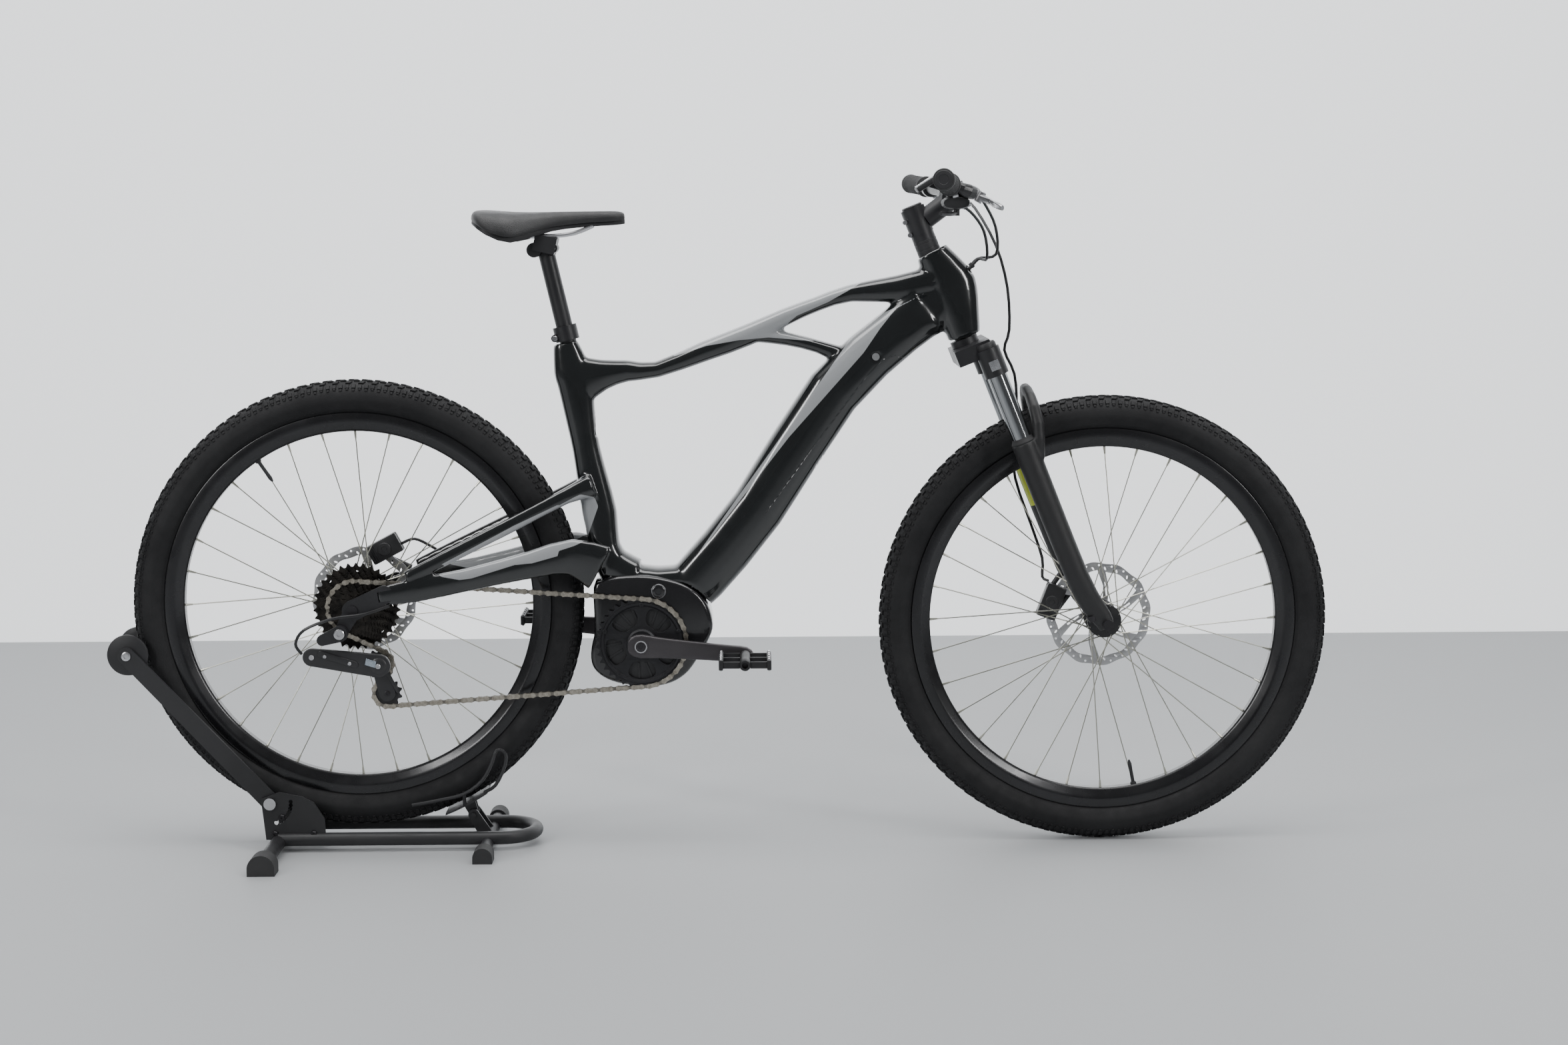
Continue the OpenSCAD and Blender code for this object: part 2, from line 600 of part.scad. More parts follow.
module fork_crown() color("#151517") difference() {
  union() {
    for (m = [-1, 1]) bar(leg(crown_low_u, m), leg(crown_top_u - 14, m), 2 * leg_r);
    translate(H(8, crown_top_u - 26)) rotate([0, head_angle - 90, 0])
      translate([-34, -leg_y - 7, 0]) cube([60, 2 * leg_y + 14, 26]);
    bar(H(0, crown_top_u - 2), H(0, fork_len + 7), 46);
    bar(H(0, fork_len), H(0, steerer_top_u - 2), 2 * steerer_r);
  }
  for (m = [-1, 1]) bar(leg(crown_low_u - 5, m), leg(crown_top_u - 18, m), 2 * stanchion_r);
}
module stanchions() color("#a9adb1") for (m = [-1, 1])
  bar(leg(stanchion_low_u, m), leg(crown_top_u - 18, m), 2 * stanchion_r);
// A flat shape drawn across the fork, [y, height up the steering axis], between two distances
// ahead of that axis
module across_fork(f0, f1)
  multmatrix([[0, head_up[0], head_fwd[0], H(f0, 0)[0]], [1, 0, 0, 0],
      [0, head_up[2], head_fwd[2], H(f0, 0)[2]], [0, 0, 0, 1]])
    linear_extrude(f1 - f0) children();
arch_f = 49;
arch_out = [[82, 300], [82, 345], [70, 375], [48, 398], [20, 410]];
arch_in = [[52, 300], [52, 345], [44, 365], [28, 380], [10, 386]];
module fork_lowers() color("#17181a") difference() {
  union() {
    for (m = [-1, 1]) bar(leg(26, m), leg(leg_top_u, m), 2 * leg_r);
    for (m = [-1, 1]) {
      y0 = m > 0 ? front_hub_w / 2 : -front_hub_w / 2 - 18;
      side_plate(y0, y0 + 18) strip(flat(leg(40, m)), flat(front_axle_p), 20, 30);
    }
    across_fork(arch_f, arch_f + 22)
      polygon(concat([for (q = arch_out) q], [for (i = [4 : -1 : 0]) [-arch_out[i][0], arch_out[i][1]]],
        [for (q = arch_in) [-q[0], q[1]]], [for (i = [4 : -1 : 0]) arch_in[i]]));
    for (m = [-1, 1]) across_fork(38, arch_f + 22)
      translate([m * leg_y - 15, leg_top_u - 30]) square([30, 44]);
  }
  for (m = [-1, 1])
    bar(leg(stanchion_low_u - travel - 4, m), leg(leg_top_u + 60, m), 2 * stanchion_r + 2 * fit);
  across(front_axle_p, -100, 100, axle_r);
}
module front_axle() color("#3a3b3d") {
  across(front_axle_p, -front_hub_w / 2 - 20, front_hub_w / 2 + 18, axle_r);
  across(front_axle_p, front_hub_w / 2 + 18, front_hub_w / 2 + 24, 10);
  across(front_axle_p, -front_hub_w / 2 - 24, -front_hub_w / 2 - 18, 9);
}
module front_caliper() color("#1a1b1d") difference() {
  union() {
    translate(front_axle_p + [-80, front_rotor_y, 22]) rotate([0, 21, 0])
      cube([34, 22, 58], center = true);
    bar(front_axle_p + [-80, front_rotor_y + 8, 44], leg(84, 1) + [-12, -14, 0], 9);
    bar(front_axle_p + [-72, front_rotor_y + 8, 2], leg(46, 1) + [-12, -14, 0], 9);
  }
  across(front_axle_p, front_rotor_y - 1.9, front_rotor_y + 1.9, rotor_r + 4);
  for (m = [-1, 1]) bar(leg(26, m), leg(leg_top_u, m), 2 * leg_r);
  bar(H(-20, 92, 56), front_axle_p + [-84, front_rotor_y + 6, 54], cockpit_hose_d + 1);
}
bar_p = H(stem_l, stem_u);
bar_mid_r = clamp_d / 2;
bar_end_r = 11.1;
// A point on the bar's centreline: level at the stem, then up and swept back
sweep = -38;
rise = 13;
function on_bar(y) = abs(y) < 45 ? bar_p + [0, y, 0]
  : abs(y) < 110 ? bar_p + [-8 * (abs(y) - 45) / 65, y, 12 * (abs(y) - 45) / 65]
  : bar_p + [-8 + sweep * (abs(y) - 110) / 270, y, 12 + rise * (abs(y) - 110) / 270];
module stem() color("#161618") difference() {
  union() {
    bar(H(0, steerer_top_u - 42), H(0, steerer_top_u + 2), 40);
    bar(H(14, steerer_top_u - 22), H(stem_l, stem_u), 34);
    bar(bar_p - [0, 24, 0], bar_p + [0, 24, 0], clamp_d + 11);
    bar(H(0, head_top_u + gap), H(0, steerer_top_u - 42), 38);
  }
  bar(H(0, head_top_u - 5), H(0, steerer_top_u - 2), 2 * steerer_r);
  bar(bar_p - [0, 40, 0], bar_p + [0, 40, 0], clamp_d);
}
module handlebar() color("#121214") loft(concat(
  [for (y = [-bar_w / 2, -130, -110]) sec(on_bar(y), 2 * bar_end_r, 2 * bar_end_r)],
  [for (y = [-45, 45]) sec(on_bar(y), clamp_d, clamp_d)],
  [for (y = [110, 130, bar_w / 2]) sec(on_bar(y), 2 * bar_end_r, 2 * bar_end_r)]),
  1, 32, [1, 0, 0], 1);
grip_l = 132;
module grips() color("#2b2c2e") for (s = [-1, 1]) difference() {
  bar(on_bar(s * (bar_w / 2 - grip_l)), on_bar(s * (bar_w / 2 + 4)), grip_d);
  bar(on_bar(s * (bar_w / 2 - grip_l - 5)), on_bar(s * (bar_w / 2)), 2 * bar_end_r + 0.4);
}
display_p = on_bar(62) + [-34, 0, 16];
module display() color("#c7cacd") {
  translate(display_p) rotate([0, -32, 0]) translate([-22, -30, 0]) cube([46, 60, 11]);
  difference() {
    bar(on_bar(46), on_bar(56), clamp_d + 9);
    bar(on_bar(40), on_bar(60), clamp_d + 0.6);
  }
  bar(on_bar(51) + [-10, 0, 12], display_p + [0, -8, 2], 9);
}
master_y = 206;
pivot_off = [38, 0, -16];
module brake_masters() color("#17181a") for (s = [-1, 1]) difference() {
  union() {
    bar(on_bar(s * master_y), on_bar(s * (master_y + 14)), 32);
    loft([sec(on_bar(s * (master_y + 7)) + [12, 0, -2], 16, 18),
      sec(on_bar(s * (master_y + 4)) + [26, 0, -8], 22, 20),
      sec(on_bar(s * (master_y - 18)) + [34, 0, -10], 20, 22),
      sec(on_bar(s * (master_y - 52)) + [34, 0, -8], 16, 14)], 2, 16, [0.2, 0, 1]);
  }
  bar(on_bar(s * (master_y - 5)), on_bar(s * (master_y + 20)), 2 * bar_end_r + 0.4);
}
lever_axis = unit([0.5, 0, 0.86]);
module brake_lever(s) {
  p = on_bar(s * (master_y + 12)) + [46, 0, -18];
  bar(p - 9 * lever_axis, p + 9 * lever_axis, 12);
  hose([p, p + [10, s * 14, -5], p + [14, s * 40, -8], p + [12, s * 80, -10],
    p + [16, s * 104, -13], p + [24, s * 112, -17]], 9, 3, 10, [1, 0, 0.3]);
}
module brake_lever_right() color("#a8aaad") brake_lever(-1);
module brake_lever_left() color("#a8aaad") brake_lever(1);
shift_y = -186;
shift_p = on_bar(shift_y) + [14, 0, -24];
module shifter() color("#1b1c1e") difference() {
  union() {
    bar(on_bar(shift_y - 6), on_bar(shift_y + 6), 32);
    loft([sec(on_bar(shift_y) + [4, 16, -24], 40, 14), sec(on_bar(shift_y) + [6, 0, -25], 46, 20),
      sec(on_bar(shift_y) + [6, -20, -25], 40, 16)], 2, 16, [1, 0, 0]);
  }
  bar(on_bar(shift_y - 12), on_bar(shift_y + 12), 2 * bar_end_r + 0.4);
}
module shift_lever() color("#1f2022") {
  translate(shift_p + [-6, 6, -21]) cylinder(r = 5, h = 9.4);
  hose([shift_p + [-6, 6, -17], shift_p + [-18, -14, -18], shift_p + [-34, -34, -17]], 7, 3, 8,
    [0, 0.2, 1]);
}

// Brake hoses and gear cable from the bars: two enter the frame's nose, one runs to the fork
cockpit_hose_d = 5;
nose_in = H(50, 622);
port_y = 8;                   // each hose port in the frame's nose, from the middle
right_route = [on_bar(-master_y + 54) + [34, 4, -8], on_bar(-120) + [46, 0, -20],
  on_bar(-70) + [64, 0, -52], on_bar(-30) + [66, 0, -92], nose_in + [15, port_y, 15],
  nose_in + [1, port_y, -1]];
gear_route = [on_bar(shift_y) + [6, 24, -24], on_bar(-130) + [26, 0, -36],
  on_bar(-84) + [46, 0, -62], on_bar(-44) + [50, 0, -98], nose_in + [15, -port_y, 15],
  nose_in + [1, -port_y, -1]];
left_route = [on_bar(master_y - 54) + [34, -4, -8], on_bar(110) + [52, 0, -30],
  on_bar(66) + [78, 0, -84], on_bar(52) + [94, 0, -150], on_bar(54) + [98, 0, -220],
  H(60, 470, 62), H(62, 425, 76), H(46, 370, 92), H(20, 320, 92), H(0, 260, 84),
  H(-4, 180, 80), H(-8, 120, 66), H(-20, 92, 56), front_axle_p + [-84, front_rotor_y + 6, 56]];
module front_hoses() color("#1b1d1c") {
  hose(right_route, cockpit_hose_d);
  hose(gear_route, cockpit_hose_d);
  hose(left_route, cockpit_hose_d, 3);
}

// ---------------------------------------------------------------- stand
leg_span = 56;                // each base rail from the middle
base_r = base_d / 2;
base_z = 20;
rail_back = -135;
bend_x = 230;
front_bar_x = 210;
plate_t = 4;
arm_t2 = 5;
arm_in = 47;                  // inner face of each holding arm from the middle
stand_pivot = [rear_x - 147, 0, 81];
roller_p = rear_axle_p + roller_dist * [roller_dir[0], 0, roller_dir[1]];
rest_angle = -102;            // rest bar under the tyre, as seen from the rear axle
rest_r = 7;
rest_p = rear_axle_p + (tyre_r + rest_r + 1) * [cos(rest_angle), 0, sin(rest_angle)];
cradle_pivot = [rear_x + 183, 0, 50];
foot_h = 2 * base_z - 8;

module base_tube() color("#17181a") {
  for (m = [-1, 1]) translate([rear_x + rail_back, m * leg_span, base_z]) rotate([0, 90, 0])
    cylinder(r = base_r, h = bend_x - rail_back);
  translate([rear_x + bend_x, 0, base_z]) rotate([0, 0, -90])
    rotate_extrude(angle = 180) translate([leg_span, 0]) circle(r = base_r);
  translate([rear_x + rail_back, 0, 16]) rotate([90, 0, 0])
    cylinder(d = base_d + 2, h = rear_bar_l, center = true);
  translate([rear_x + front_bar_x, 0, 12.5]) rotate([90, 0, 0])
    cylinder(d = base_d - 2, h = front_bar_l, center = true);
}
module foot(x, y, z, bore_d, wide, high) {
  s = sign(y);
  difference() {
    side_plate(min(y - s * 20, y + s * 16), max(y - s * 20, y + s * 16))
      translate([x, 0]) union() {
        intersection() {
          translate([0, high - wide / 2]) circle(d = wide);
          translate([-wide, 1]) square([2 * wide, high]);
        }
        translate([-wide / 2, 0]) square([wide, high - wide / 2]);
      }
    translate([x, y - s * 21, z]) rotate([s * -90, 0, 0]) cylinder(d = bore_d, h = 21);
  }
}
module rubber_feet() color("#111213") for (s = [-1, 1]) {
  foot(rear_x + rail_back, s * rear_bar_l / 2, 16, base_d + 2, 44, 34);
  foot(rear_x + front_bar_x, s * front_bar_l / 2, 12.5, base_d - 2, 32, 26);
}
module side_plates() color("#17181a") difference() {
  union() {
    for (m = [-1, 1]) side_plate(m * leg_span - plate_t / 2, m * leg_span + plate_t / 2)
      polygon([[rear_x - 162, 89], [rear_x - 155, base_z], [rear_x - 57, base_z],
        [rear_x - 58, 55], [rear_x - 75, 82], [rear_x - 94, 92], [rear_x - 132, 100]]);
    across(rest_p, -leg_span, leg_span, rest_r);
  }
  for (m = [-1, 1]) translate([rear_x + rail_back, m * leg_span, base_z]) rotate([0, 90, 0])
    cylinder(r = base_r, h = bend_x - rail_back);
  across(stand_pivot, -100, 100, 5);
  for (a = [-75 : 10 : 5]) across(stand_pivot + 34 * [cos(a), 0, sin(a)], -100, 100, 3.5);
}
module pivot_bolts() color("#c3c5c7") for (m = [-1, 1]) {
  y = m * (leg_span + plate_t / 2);
  across(stand_pivot, min(m * (arm_in - 3), y), max(m * (arm_in - 3), y), 5);
  across(stand_pivot, min(y, y + m * 5), max(y, y + m * 5), 10);
}
module hold_arms() color("#17181a") difference() {
  union() {
    for (m = [-1, 1]) side_plate(min(m * arm_in, m * (arm_in + arm_t2)),
        max(m * arm_in, m * (arm_in + arm_t2)))
      strip(flat(stand_pivot), flat(roller_p), 30, 28);
    across(roller_p, -arm_in, arm_in, 6);
  }
  across(stand_pivot, -100, 100, 5 + fit);
}
module tyre_roller() color("#1b1c1e") difference() {
  turned(roller_p) polygon([[6 + fit, -44], [flange_r, -44], [flange_r, -36], [roller_hub_r, -33],
    [roller_hub_r, 33], [flange_r, 36], [flange_r, 44], [6 + fit, 44]]);
}
module cradle_bracket() color("#17181a") difference() {
  union() {
    for (m = [-1, 1]) side_plate(m * 15 - 2, m * 15 + 2) {
      strip([cradle_pivot[0], cradle_pivot[2]], [rear_x + front_bar_x - 8, 18], 18, 22);
    }
    across(cradle_pivot, -22, 22, 4);
  }
  translate([rear_x + front_bar_x, 0, 12.5]) rotate([90, 0, 0])
    cylinder(d = base_d - 2, h = front_bar_l, center = true);
}
trough_gap = 3.5;
trough_a = -62;               // middle of the trough, as seen from the rear axle
trough_p = rear_axle_p + (tyre_r + trough_gap) * [cos(trough_a), 0, sin(trough_a)];
wire_d = 6;
module wheel_cradle() color("#17181a") {
  r0 = tyre_r + trough_gap;
  side_plate(-32, 32) difference() {
    translate(flat(rear_axle_p)) circle(r = r0 + 3);
    translate(flat(rear_axle_p)) circle(r = r0);
    translate([rear_x - 500, 0]) square([500 + 138, 900]);
    translate([rear_x + 208, 0]) square([900, 900]);
    translate([rear_x - 500, rear_z - 200]) square([1500, 900]);
  }
  difference() {
    for (m = [-1, 1]) side_plate(m * 7 - 2, m * 7 + 2)
      strip([cradle_pivot[0], cradle_pivot[2]], [cradle_pivot[0] - 10, 74], 16, 22);
    across(cradle_pivot, -30, 30, 4 + fit);
    across(rear_axle_p, -40, 40, r0 + 1);
  }
  for (m = [-1, 1])
    hose([[rear_x + 203, m * 29, 91], [rear_x + 222, m * 37, 104], [rear_x + 238, m * 40, 136],
      [rear_x + 240, m * 40, 158], [rear_x + 226, m * 40, 164], [rear_x + 216, m * 40, 140],
      [rear_x + 200, m * 38, 112], [rear_x + 170, m * 38, 90], [rear_x + 130, m * 38, 80],
      [rear_x + 84, m * 40, 72]], wire_d, 3, 8, [0.1, 1, 0.2]);
  for (m = [-1, 1]) bar([rear_x + 170, m * 30, 69], [rear_x + 170, m * 38, 90], wire_d);
}

base_tube();
rubber_feet();
side_plates();
pivot_bolts();
cradle_bracket();
hold_arms();
tyre_roller();
wheel_cradle();
head_tube();
top_tube();
down_tube();
seat_tube();
chainstays();
seatstays();
dropouts();
motor_unit();
battery_pack();
power_button();
seat_clamp();
rear_axle();
rear_caliper();
rear_hoses();
chain();
derailleur_arm();
derailleur_cage();
upper_pulley();
lower_pulley();
seatpost();
seat_rails();
saddle();
fork_crown();
stanchions();
stem();
handlebar();
grips();
display();
shifter();
brake_masters();
front_hoses();
brake_lever_right();
brake_lever_left();
shift_lever();
fork_lowers();
front_axle();
front_caliper();
front_tyre();
front_rim();
front_spokes();
front_hub();
front_rotor();
rear_tyre();
rear_rim();
rear_spokes();
rear_hub();
rear_rotor();
cassette();
crankset();
chainring();
pedal_right();
pedal_left();
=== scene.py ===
import json
import math

import bmesh
import bpy
from mathutils import Matrix, Vector


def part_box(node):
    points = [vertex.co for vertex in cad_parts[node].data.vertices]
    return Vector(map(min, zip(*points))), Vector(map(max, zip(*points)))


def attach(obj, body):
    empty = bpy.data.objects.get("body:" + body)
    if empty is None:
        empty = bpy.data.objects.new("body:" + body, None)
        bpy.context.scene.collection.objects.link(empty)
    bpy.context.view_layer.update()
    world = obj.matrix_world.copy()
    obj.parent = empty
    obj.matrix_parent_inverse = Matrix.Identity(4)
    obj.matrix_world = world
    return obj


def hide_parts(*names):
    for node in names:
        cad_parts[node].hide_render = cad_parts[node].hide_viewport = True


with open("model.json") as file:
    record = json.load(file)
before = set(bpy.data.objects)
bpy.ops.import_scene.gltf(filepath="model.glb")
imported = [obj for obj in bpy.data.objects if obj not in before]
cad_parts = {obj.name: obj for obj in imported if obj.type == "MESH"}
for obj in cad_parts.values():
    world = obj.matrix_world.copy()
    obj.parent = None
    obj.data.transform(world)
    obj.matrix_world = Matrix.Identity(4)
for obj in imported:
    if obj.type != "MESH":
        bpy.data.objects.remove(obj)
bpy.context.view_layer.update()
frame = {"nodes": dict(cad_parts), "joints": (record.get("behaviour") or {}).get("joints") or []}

nodes = frame["nodes"]

# ---------------------------------------------------------------- studio
# The camera stands low on the drive side, square to the bicycle. The light is a large soft
# room: a pale backdrop, a ceiling light and two strips that draw lines along the gloss paint.
EYE = Vector((0.0488, -4.1389, 1.0555))
yaw, pitch, roll = math.radians(0.795), math.radians(7.163), math.radians(-0.279)
look = Vector((math.sin(yaw) * math.cos(pitch), math.cos(yaw) * math.cos(pitch),
               -math.sin(pitch)))
level = Vector((math.cos(yaw), -math.sin(yaw), 0))
rise = level.cross(look)
right = math.cos(roll) * level + math.sin(roll) * rise
up = math.cos(roll) * rise - math.sin(roll) * level
camera_data = bpy.data.cameras.new("camera")
camera_data.lens = 57.96
camera_data.sensor_width = 36
camera = bpy.data.objects.new("camera", camera_data)
camera.matrix_world = Matrix((
    (right.x, up.x, -look.x, EYE.x), (right.y, up.y, -look.y, EYE.y),
    (right.z, up.z, -look.z, EYE.z), (0, 0, 0, 1)))
bpy.context.scene.collection.objects.link(camera)
bpy.context.scene.camera = camera

world = bpy.data.worlds.new("room")
bpy.context.scene.world = world
world.use_nodes = True
world.node_tree.nodes["Background"].inputs["Color"].default_value = (0.95, 0.97, 1, 1)
world.node_tree.nodes["Background"].inputs["Strength"].default_value = 0.16


def area_light(name, place, target, size, power):
    data = bpy.data.lights.new(name, "AREA")
    data.shape = "RECTANGLE"
    data.size, data.size_y = size
    data.energy = power
    lamp = bpy.data.objects.new(name, data)
    lamp.location = place
    lamp.rotation_euler = (Vector(target) - Vector(place)).to_track_quat("-Z", "Y").to_euler()
    bpy.context.scene.collection.objects.link(lamp)


area_light("ceiling", (0, -0.4, 3.4), (0, 0, 0.4), (4.5, 1.6), 120)
area_light("side_strip", (-3.0, -3.0, 2.2), (0, 0, 0.6), (0.5, 2.2), 60)
area_light("front_strip", (3.1, -2.8, 2.4), (0, 0, 0.6), (0.5, 2.2), 64)

bpy.ops.mesh.primitive_plane_add(size=24, location=(0, 0, 0))
floor = bpy.context.object
floor.name = "floor"
floor_paint = bpy.data.materials.new("floor_paint")
floor_paint.use_nodes = True
floor_paint.node_tree.nodes["Principled BSDF"].inputs["Base Color"].default_value = (
    0.40, 0.41, 0.42, 1)
floor_paint.node_tree.nodes["Principled BSDF"].inputs["Roughness"].default_value = 0.55
floor.data.materials.append(floor_paint)
bpy.ops.mesh.primitive_plane_add(size=16, location=(0, 2.0, 8), rotation=(math.pi / 2, 0, 0))
wall = bpy.context.object
wall.name = "wall"
wall_paint = bpy.data.materials.new("wall_paint")
wall_paint.use_nodes = True
wall_shader = wall_paint.node_tree.nodes["Principled BSDF"]
wall_shader.inputs["Base Color"].default_value = (0.80, 0.81, 0.82, 1)
wall_shader.inputs["Roughness"].default_value = 0.9
wall_shader.inputs["Emission Color"].default_value = (0.96, 0.98, 1, 1)
wall_shader.inputs["Emission Strength"].default_value = 0.95
wall.data.materials.append(wall_paint)

# ---------------------------------------------------------------- stand
# A folding floor stand of bent steel tube with welded plates, powder coated satin black. Its
# cross bars end in moulded rubber feet, and the arm turns on two bright bolts.
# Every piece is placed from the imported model: wheel centres, joint axes and node boxes.
joint = {j["name"]: j for j in frame["joints"]}


def box_mid(node):
    low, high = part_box(node)
    return (Vector(low) + Vector(high)) / 2


REAR = Vector(joint["rear_wheel_spin"]["pos_m"])


# One maker of finishes: a mottle of two close colours, a roughness that drifts, and a fine
# grain in relief. Each piece's own section calls it with that piece's values.
def mottle_group():
    tree = bpy.data.node_groups.new("mottle", "ShaderNodeTree")
    for name, low in (("Scale", 8.0), ("Detail", 3.0), ("Low", 0.0), ("High", 1.0)):
        socket = tree.interface.new_socket(name, in_out="INPUT", socket_type="NodeSocketFloat")
        socket.default_value = low
    tree.interface.new_socket("Mask", in_out="OUTPUT", socket_type="NodeSocketFloat")
    get = tree.nodes.new("NodeGroupInput")
    put = tree.nodes.new("NodeGroupOutput")
    place = tree.nodes.new("ShaderNodeTexCoord")
    noise = tree.nodes.new("ShaderNodeTexNoise")
    span = tree.nodes.new("ShaderNodeMapRange")
    span.inputs["From Min"].default_value = 0.32
    span.inputs["From Max"].default_value = 0.68
    tree.links.new(place.outputs["Object"], noise.inputs["Vector"])
    tree.links.new(get.outputs["Scale"], noise.inputs["Scale"])
    tree.links.new(get.outputs["Detail"], noise.inputs["Detail"])
    tree.links.new(noise.outputs["Fac"], span.inputs["Value"])
    tree.links.new(get.outputs["Low"], span.inputs["To Min"])
    tree.links.new(get.outputs["High"], span.inputs["To Max"])
    tree.links.new(span.outputs["Result"], put.inputs["Mask"])
    return tree


MOTTLE = mottle_group()


def add_mottle(tree, scale, low, high, detail=3.0):
    spot = tree.nodes.new("ShaderNodeGroup")
    spot.node_tree = MOTTLE
    for name, value in (("Scale", scale), ("Detail", detail), ("Low", low), ("High", high)):
        spot.inputs[name].default_value = value
    return spot.outputs["Mask"]


def finish(name, dark, light, rough, metal=0.0, coat=0.0, coat_rough=0.03, grain=0.0,
           grain_scale=900.0, patch=6.0, sheen=0.0, specular=0.5, lines=None):
    """lines=(axis, scale): brushed or turned lines across that axis instead of a grain."""
    made = bpy.data.materials.new(name)
    made.use_nodes = True
    tree = made.node_tree
    shader = tree.nodes["Principled BSDF"]
    mix = tree.nodes.new("ShaderNodeMix")
    mix.data_type = "RGBA"
    mix.inputs["A"].default_value = (*dark, 1)
    mix.inputs["B"].default_value = (*light, 1)
    tree.links.new(add_mottle(tree, patch, 0, 1), mix.inputs["Factor"])
    tree.links.new(mix.outputs["Result"], shader.inputs["Base Color"])
    tree.links.new(add_mottle(tree, patch * 5, *rough), shader.inputs["Roughness"])
    shader.inputs["Metallic"].default_value = metal
    shader.inputs["Coat Weight"].default_value = coat
    shader.inputs["Coat Roughness"].default_value = coat_rough
    shader.inputs["Sheen Weight"].default_value = sheen
    shader.inputs["Specular IOR Level"].default_value = specular
    if grain:
        bump = tree.nodes.new("ShaderNodeBump")
        bump.inputs["Strength"].default_value = 1
        bump.inputs["Distance"].default_value = grain
        if lines:
            place = tree.nodes.new("ShaderNodeTexCoord")
            stretch = tree.nodes.new("ShaderNodeMapping")
            stretch.inputs["Scale"].default_value = lines
            noise = tree.nodes.new("ShaderNodeTexNoise")
            noise.inputs["Scale"].default_value = grain_scale
            tree.links.new(place.outputs["Object"], stretch.inputs["Vector"])
            tree.links.new(stretch.outputs["Vector"], noise.inputs["Vector"])
            tree.links.new(noise.outputs["Fac"], bump.inputs["Height"])
        else:
            tree.links.new(add_mottle(tree, grain_scale, 0, 1, 2.0), bump.inputs["Height"])
        tree.links.new(bump.outputs["Normal"], shader.inputs["Normal"])
    return made


moulded_black = finish("moulded_black", (0.012, 0.012, 0.013), (0.024, 0.024, 0.026),
                       (0.42, 0.58), grain=0.00005, grain_scale=1800)
rubber = finish("rubber", (0.016, 0.016, 0.017), (0.030, 0.030, 0.031), (0.62, 0.78),
                grain=0.00006, grain_scale=1300)
steel = finish("steel", (0.50, 0.50, 0.51), (0.68, 0.68, 0.70), (0.2, 0.34), metal=1,
               grain=0.000015, grain_scale=400, lines=(1, 8, 1))
dark_metal = finish("dark_metal", (0.035, 0.034, 0.036), (0.06, 0.058, 0.062), (0.3, 0.42),
                    metal=0.85, grain=0.00002, grain_scale=2000)


def paint(node, material):
    body = nodes[node]
    body.data.materials.clear()
    body.data.materials.append(material)


powder_coat = finish("powder_coat", (0.013, 0.013, 0.014), (0.024, 0.024, 0.026), (0.36, 0.52),
                     grain=0.00007, grain_scale=1500)
for name in ("base_tube", "side_plates", "cradle_bracket", "hold_arms", "wheel_cradle"):
    paint(name, powder_coat)
paint("rubber_feet", rubber)
paint("pivot_bolts", steel)


def add_piece(name, verts, faces, material, body, smooth=35, slot=None, replaces=()):
    """A mesh object in the shared frame, shaded smooth below an angle, on its body."""
    mesh = bpy.data.meshes.new(name)
    mesh.from_pydata([tuple(v) for v in verts], [], faces)
    return keep_mesh(name, mesh, material, body, smooth, replaces)


def keep_mesh(name, mesh, material, body, smooth=35, replaces=(), recalc=True):
    mesh.name = name
    if recalc:
        work = bmesh.new()
        work.from_mesh(mesh)
        bmesh.ops.remove_doubles(work, verts=work.verts, dist=1e-6)
        bmesh.ops.recalc_face_normals(work, faces=work.faces)
        work.to_mesh(mesh)
        work.free()
    mesh.materials.clear()
    mesh.materials.append(material)
    mesh.shade_smooth()
    mesh.set_sharp_from_angle(angle=math.radians(smooth))
    piece = bpy.data.objects.new(name, mesh)
    bpy.context.scene.collection.objects.link(piece)
    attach(piece, body)
    if replaces:
        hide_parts(*replaces)
    return piece


def turned(profile, centre, sides, start=0):
    """A ring about the axle through centre, from a closed profile of (radius, y) in mm."""
    verts, faces, count = [], [], len(profile)
    for i in range(sides):
        a = 2 * math.pi * (i + start) / sides
        for r, y in profile:
            verts.append(centre + Vector((r * math.cos(a), y, r * math.sin(a))) / 1000)
    for i in range(sides):
        for k in range(count):
            a, b = i * count, (i + 1) % sides * count
            m = (k + 1) % count
            faces.append((a + k, a + m, b + m, b + k))
    return verts, faces


# Hexagon screws stand on the plates, with a socket in each head.
def bolt_head(centre, axis, radius, height, sides=6, socket=0.45):
    axis = Vector(axis).normalized()
    side = axis.orthogonal().normalized()
    other = axis.cross(side)
    rings = [(radius, 0), (radius, height * 0.8), (radius * 0.86, height),
             (radius * socket, height), (radius * socket, height * 0.45)]
    verts, faces = [], []
    for r, h in rings:
        for k in range(sides):
            a = 2 * math.pi * k / sides
            verts.append(centre + axis * h + r * (math.cos(a) * side + math.sin(a) * other))
    for i in range(len(rings) - 1):
        for k in range(sides):
            m = (k + 1) % sides
            faces.append((i * sides + k, i * sides + m, (i + 1) * sides + m, (i + 1) * sides + k))
    faces.append(tuple(reversed(range(sides))))
    faces.append(tuple((len(rings) - 1) * sides + k for k in range(sides)))
    return verts, faces


def join_parts(parts):
    verts, faces = [], []
    for more_verts, more_faces in parts:
        first = len(verts)
        verts += list(more_verts)
        faces += [tuple(first + i for i in face) for face in more_faces]
    return verts, faces


plate_screws = [bolt_head(Vector((REAR.x + x / 1000, m * 0.0582, z / 1000)), (0, m, 0),
                          0.0055, 0.004) for m in (-1, 1)
                for x, z in ((-140, 30), (-76, 30), (-128, 58))]
add_piece("stand_screws", *join_parts(plate_screws), dark_metal, "stand", slot="bright_steel")

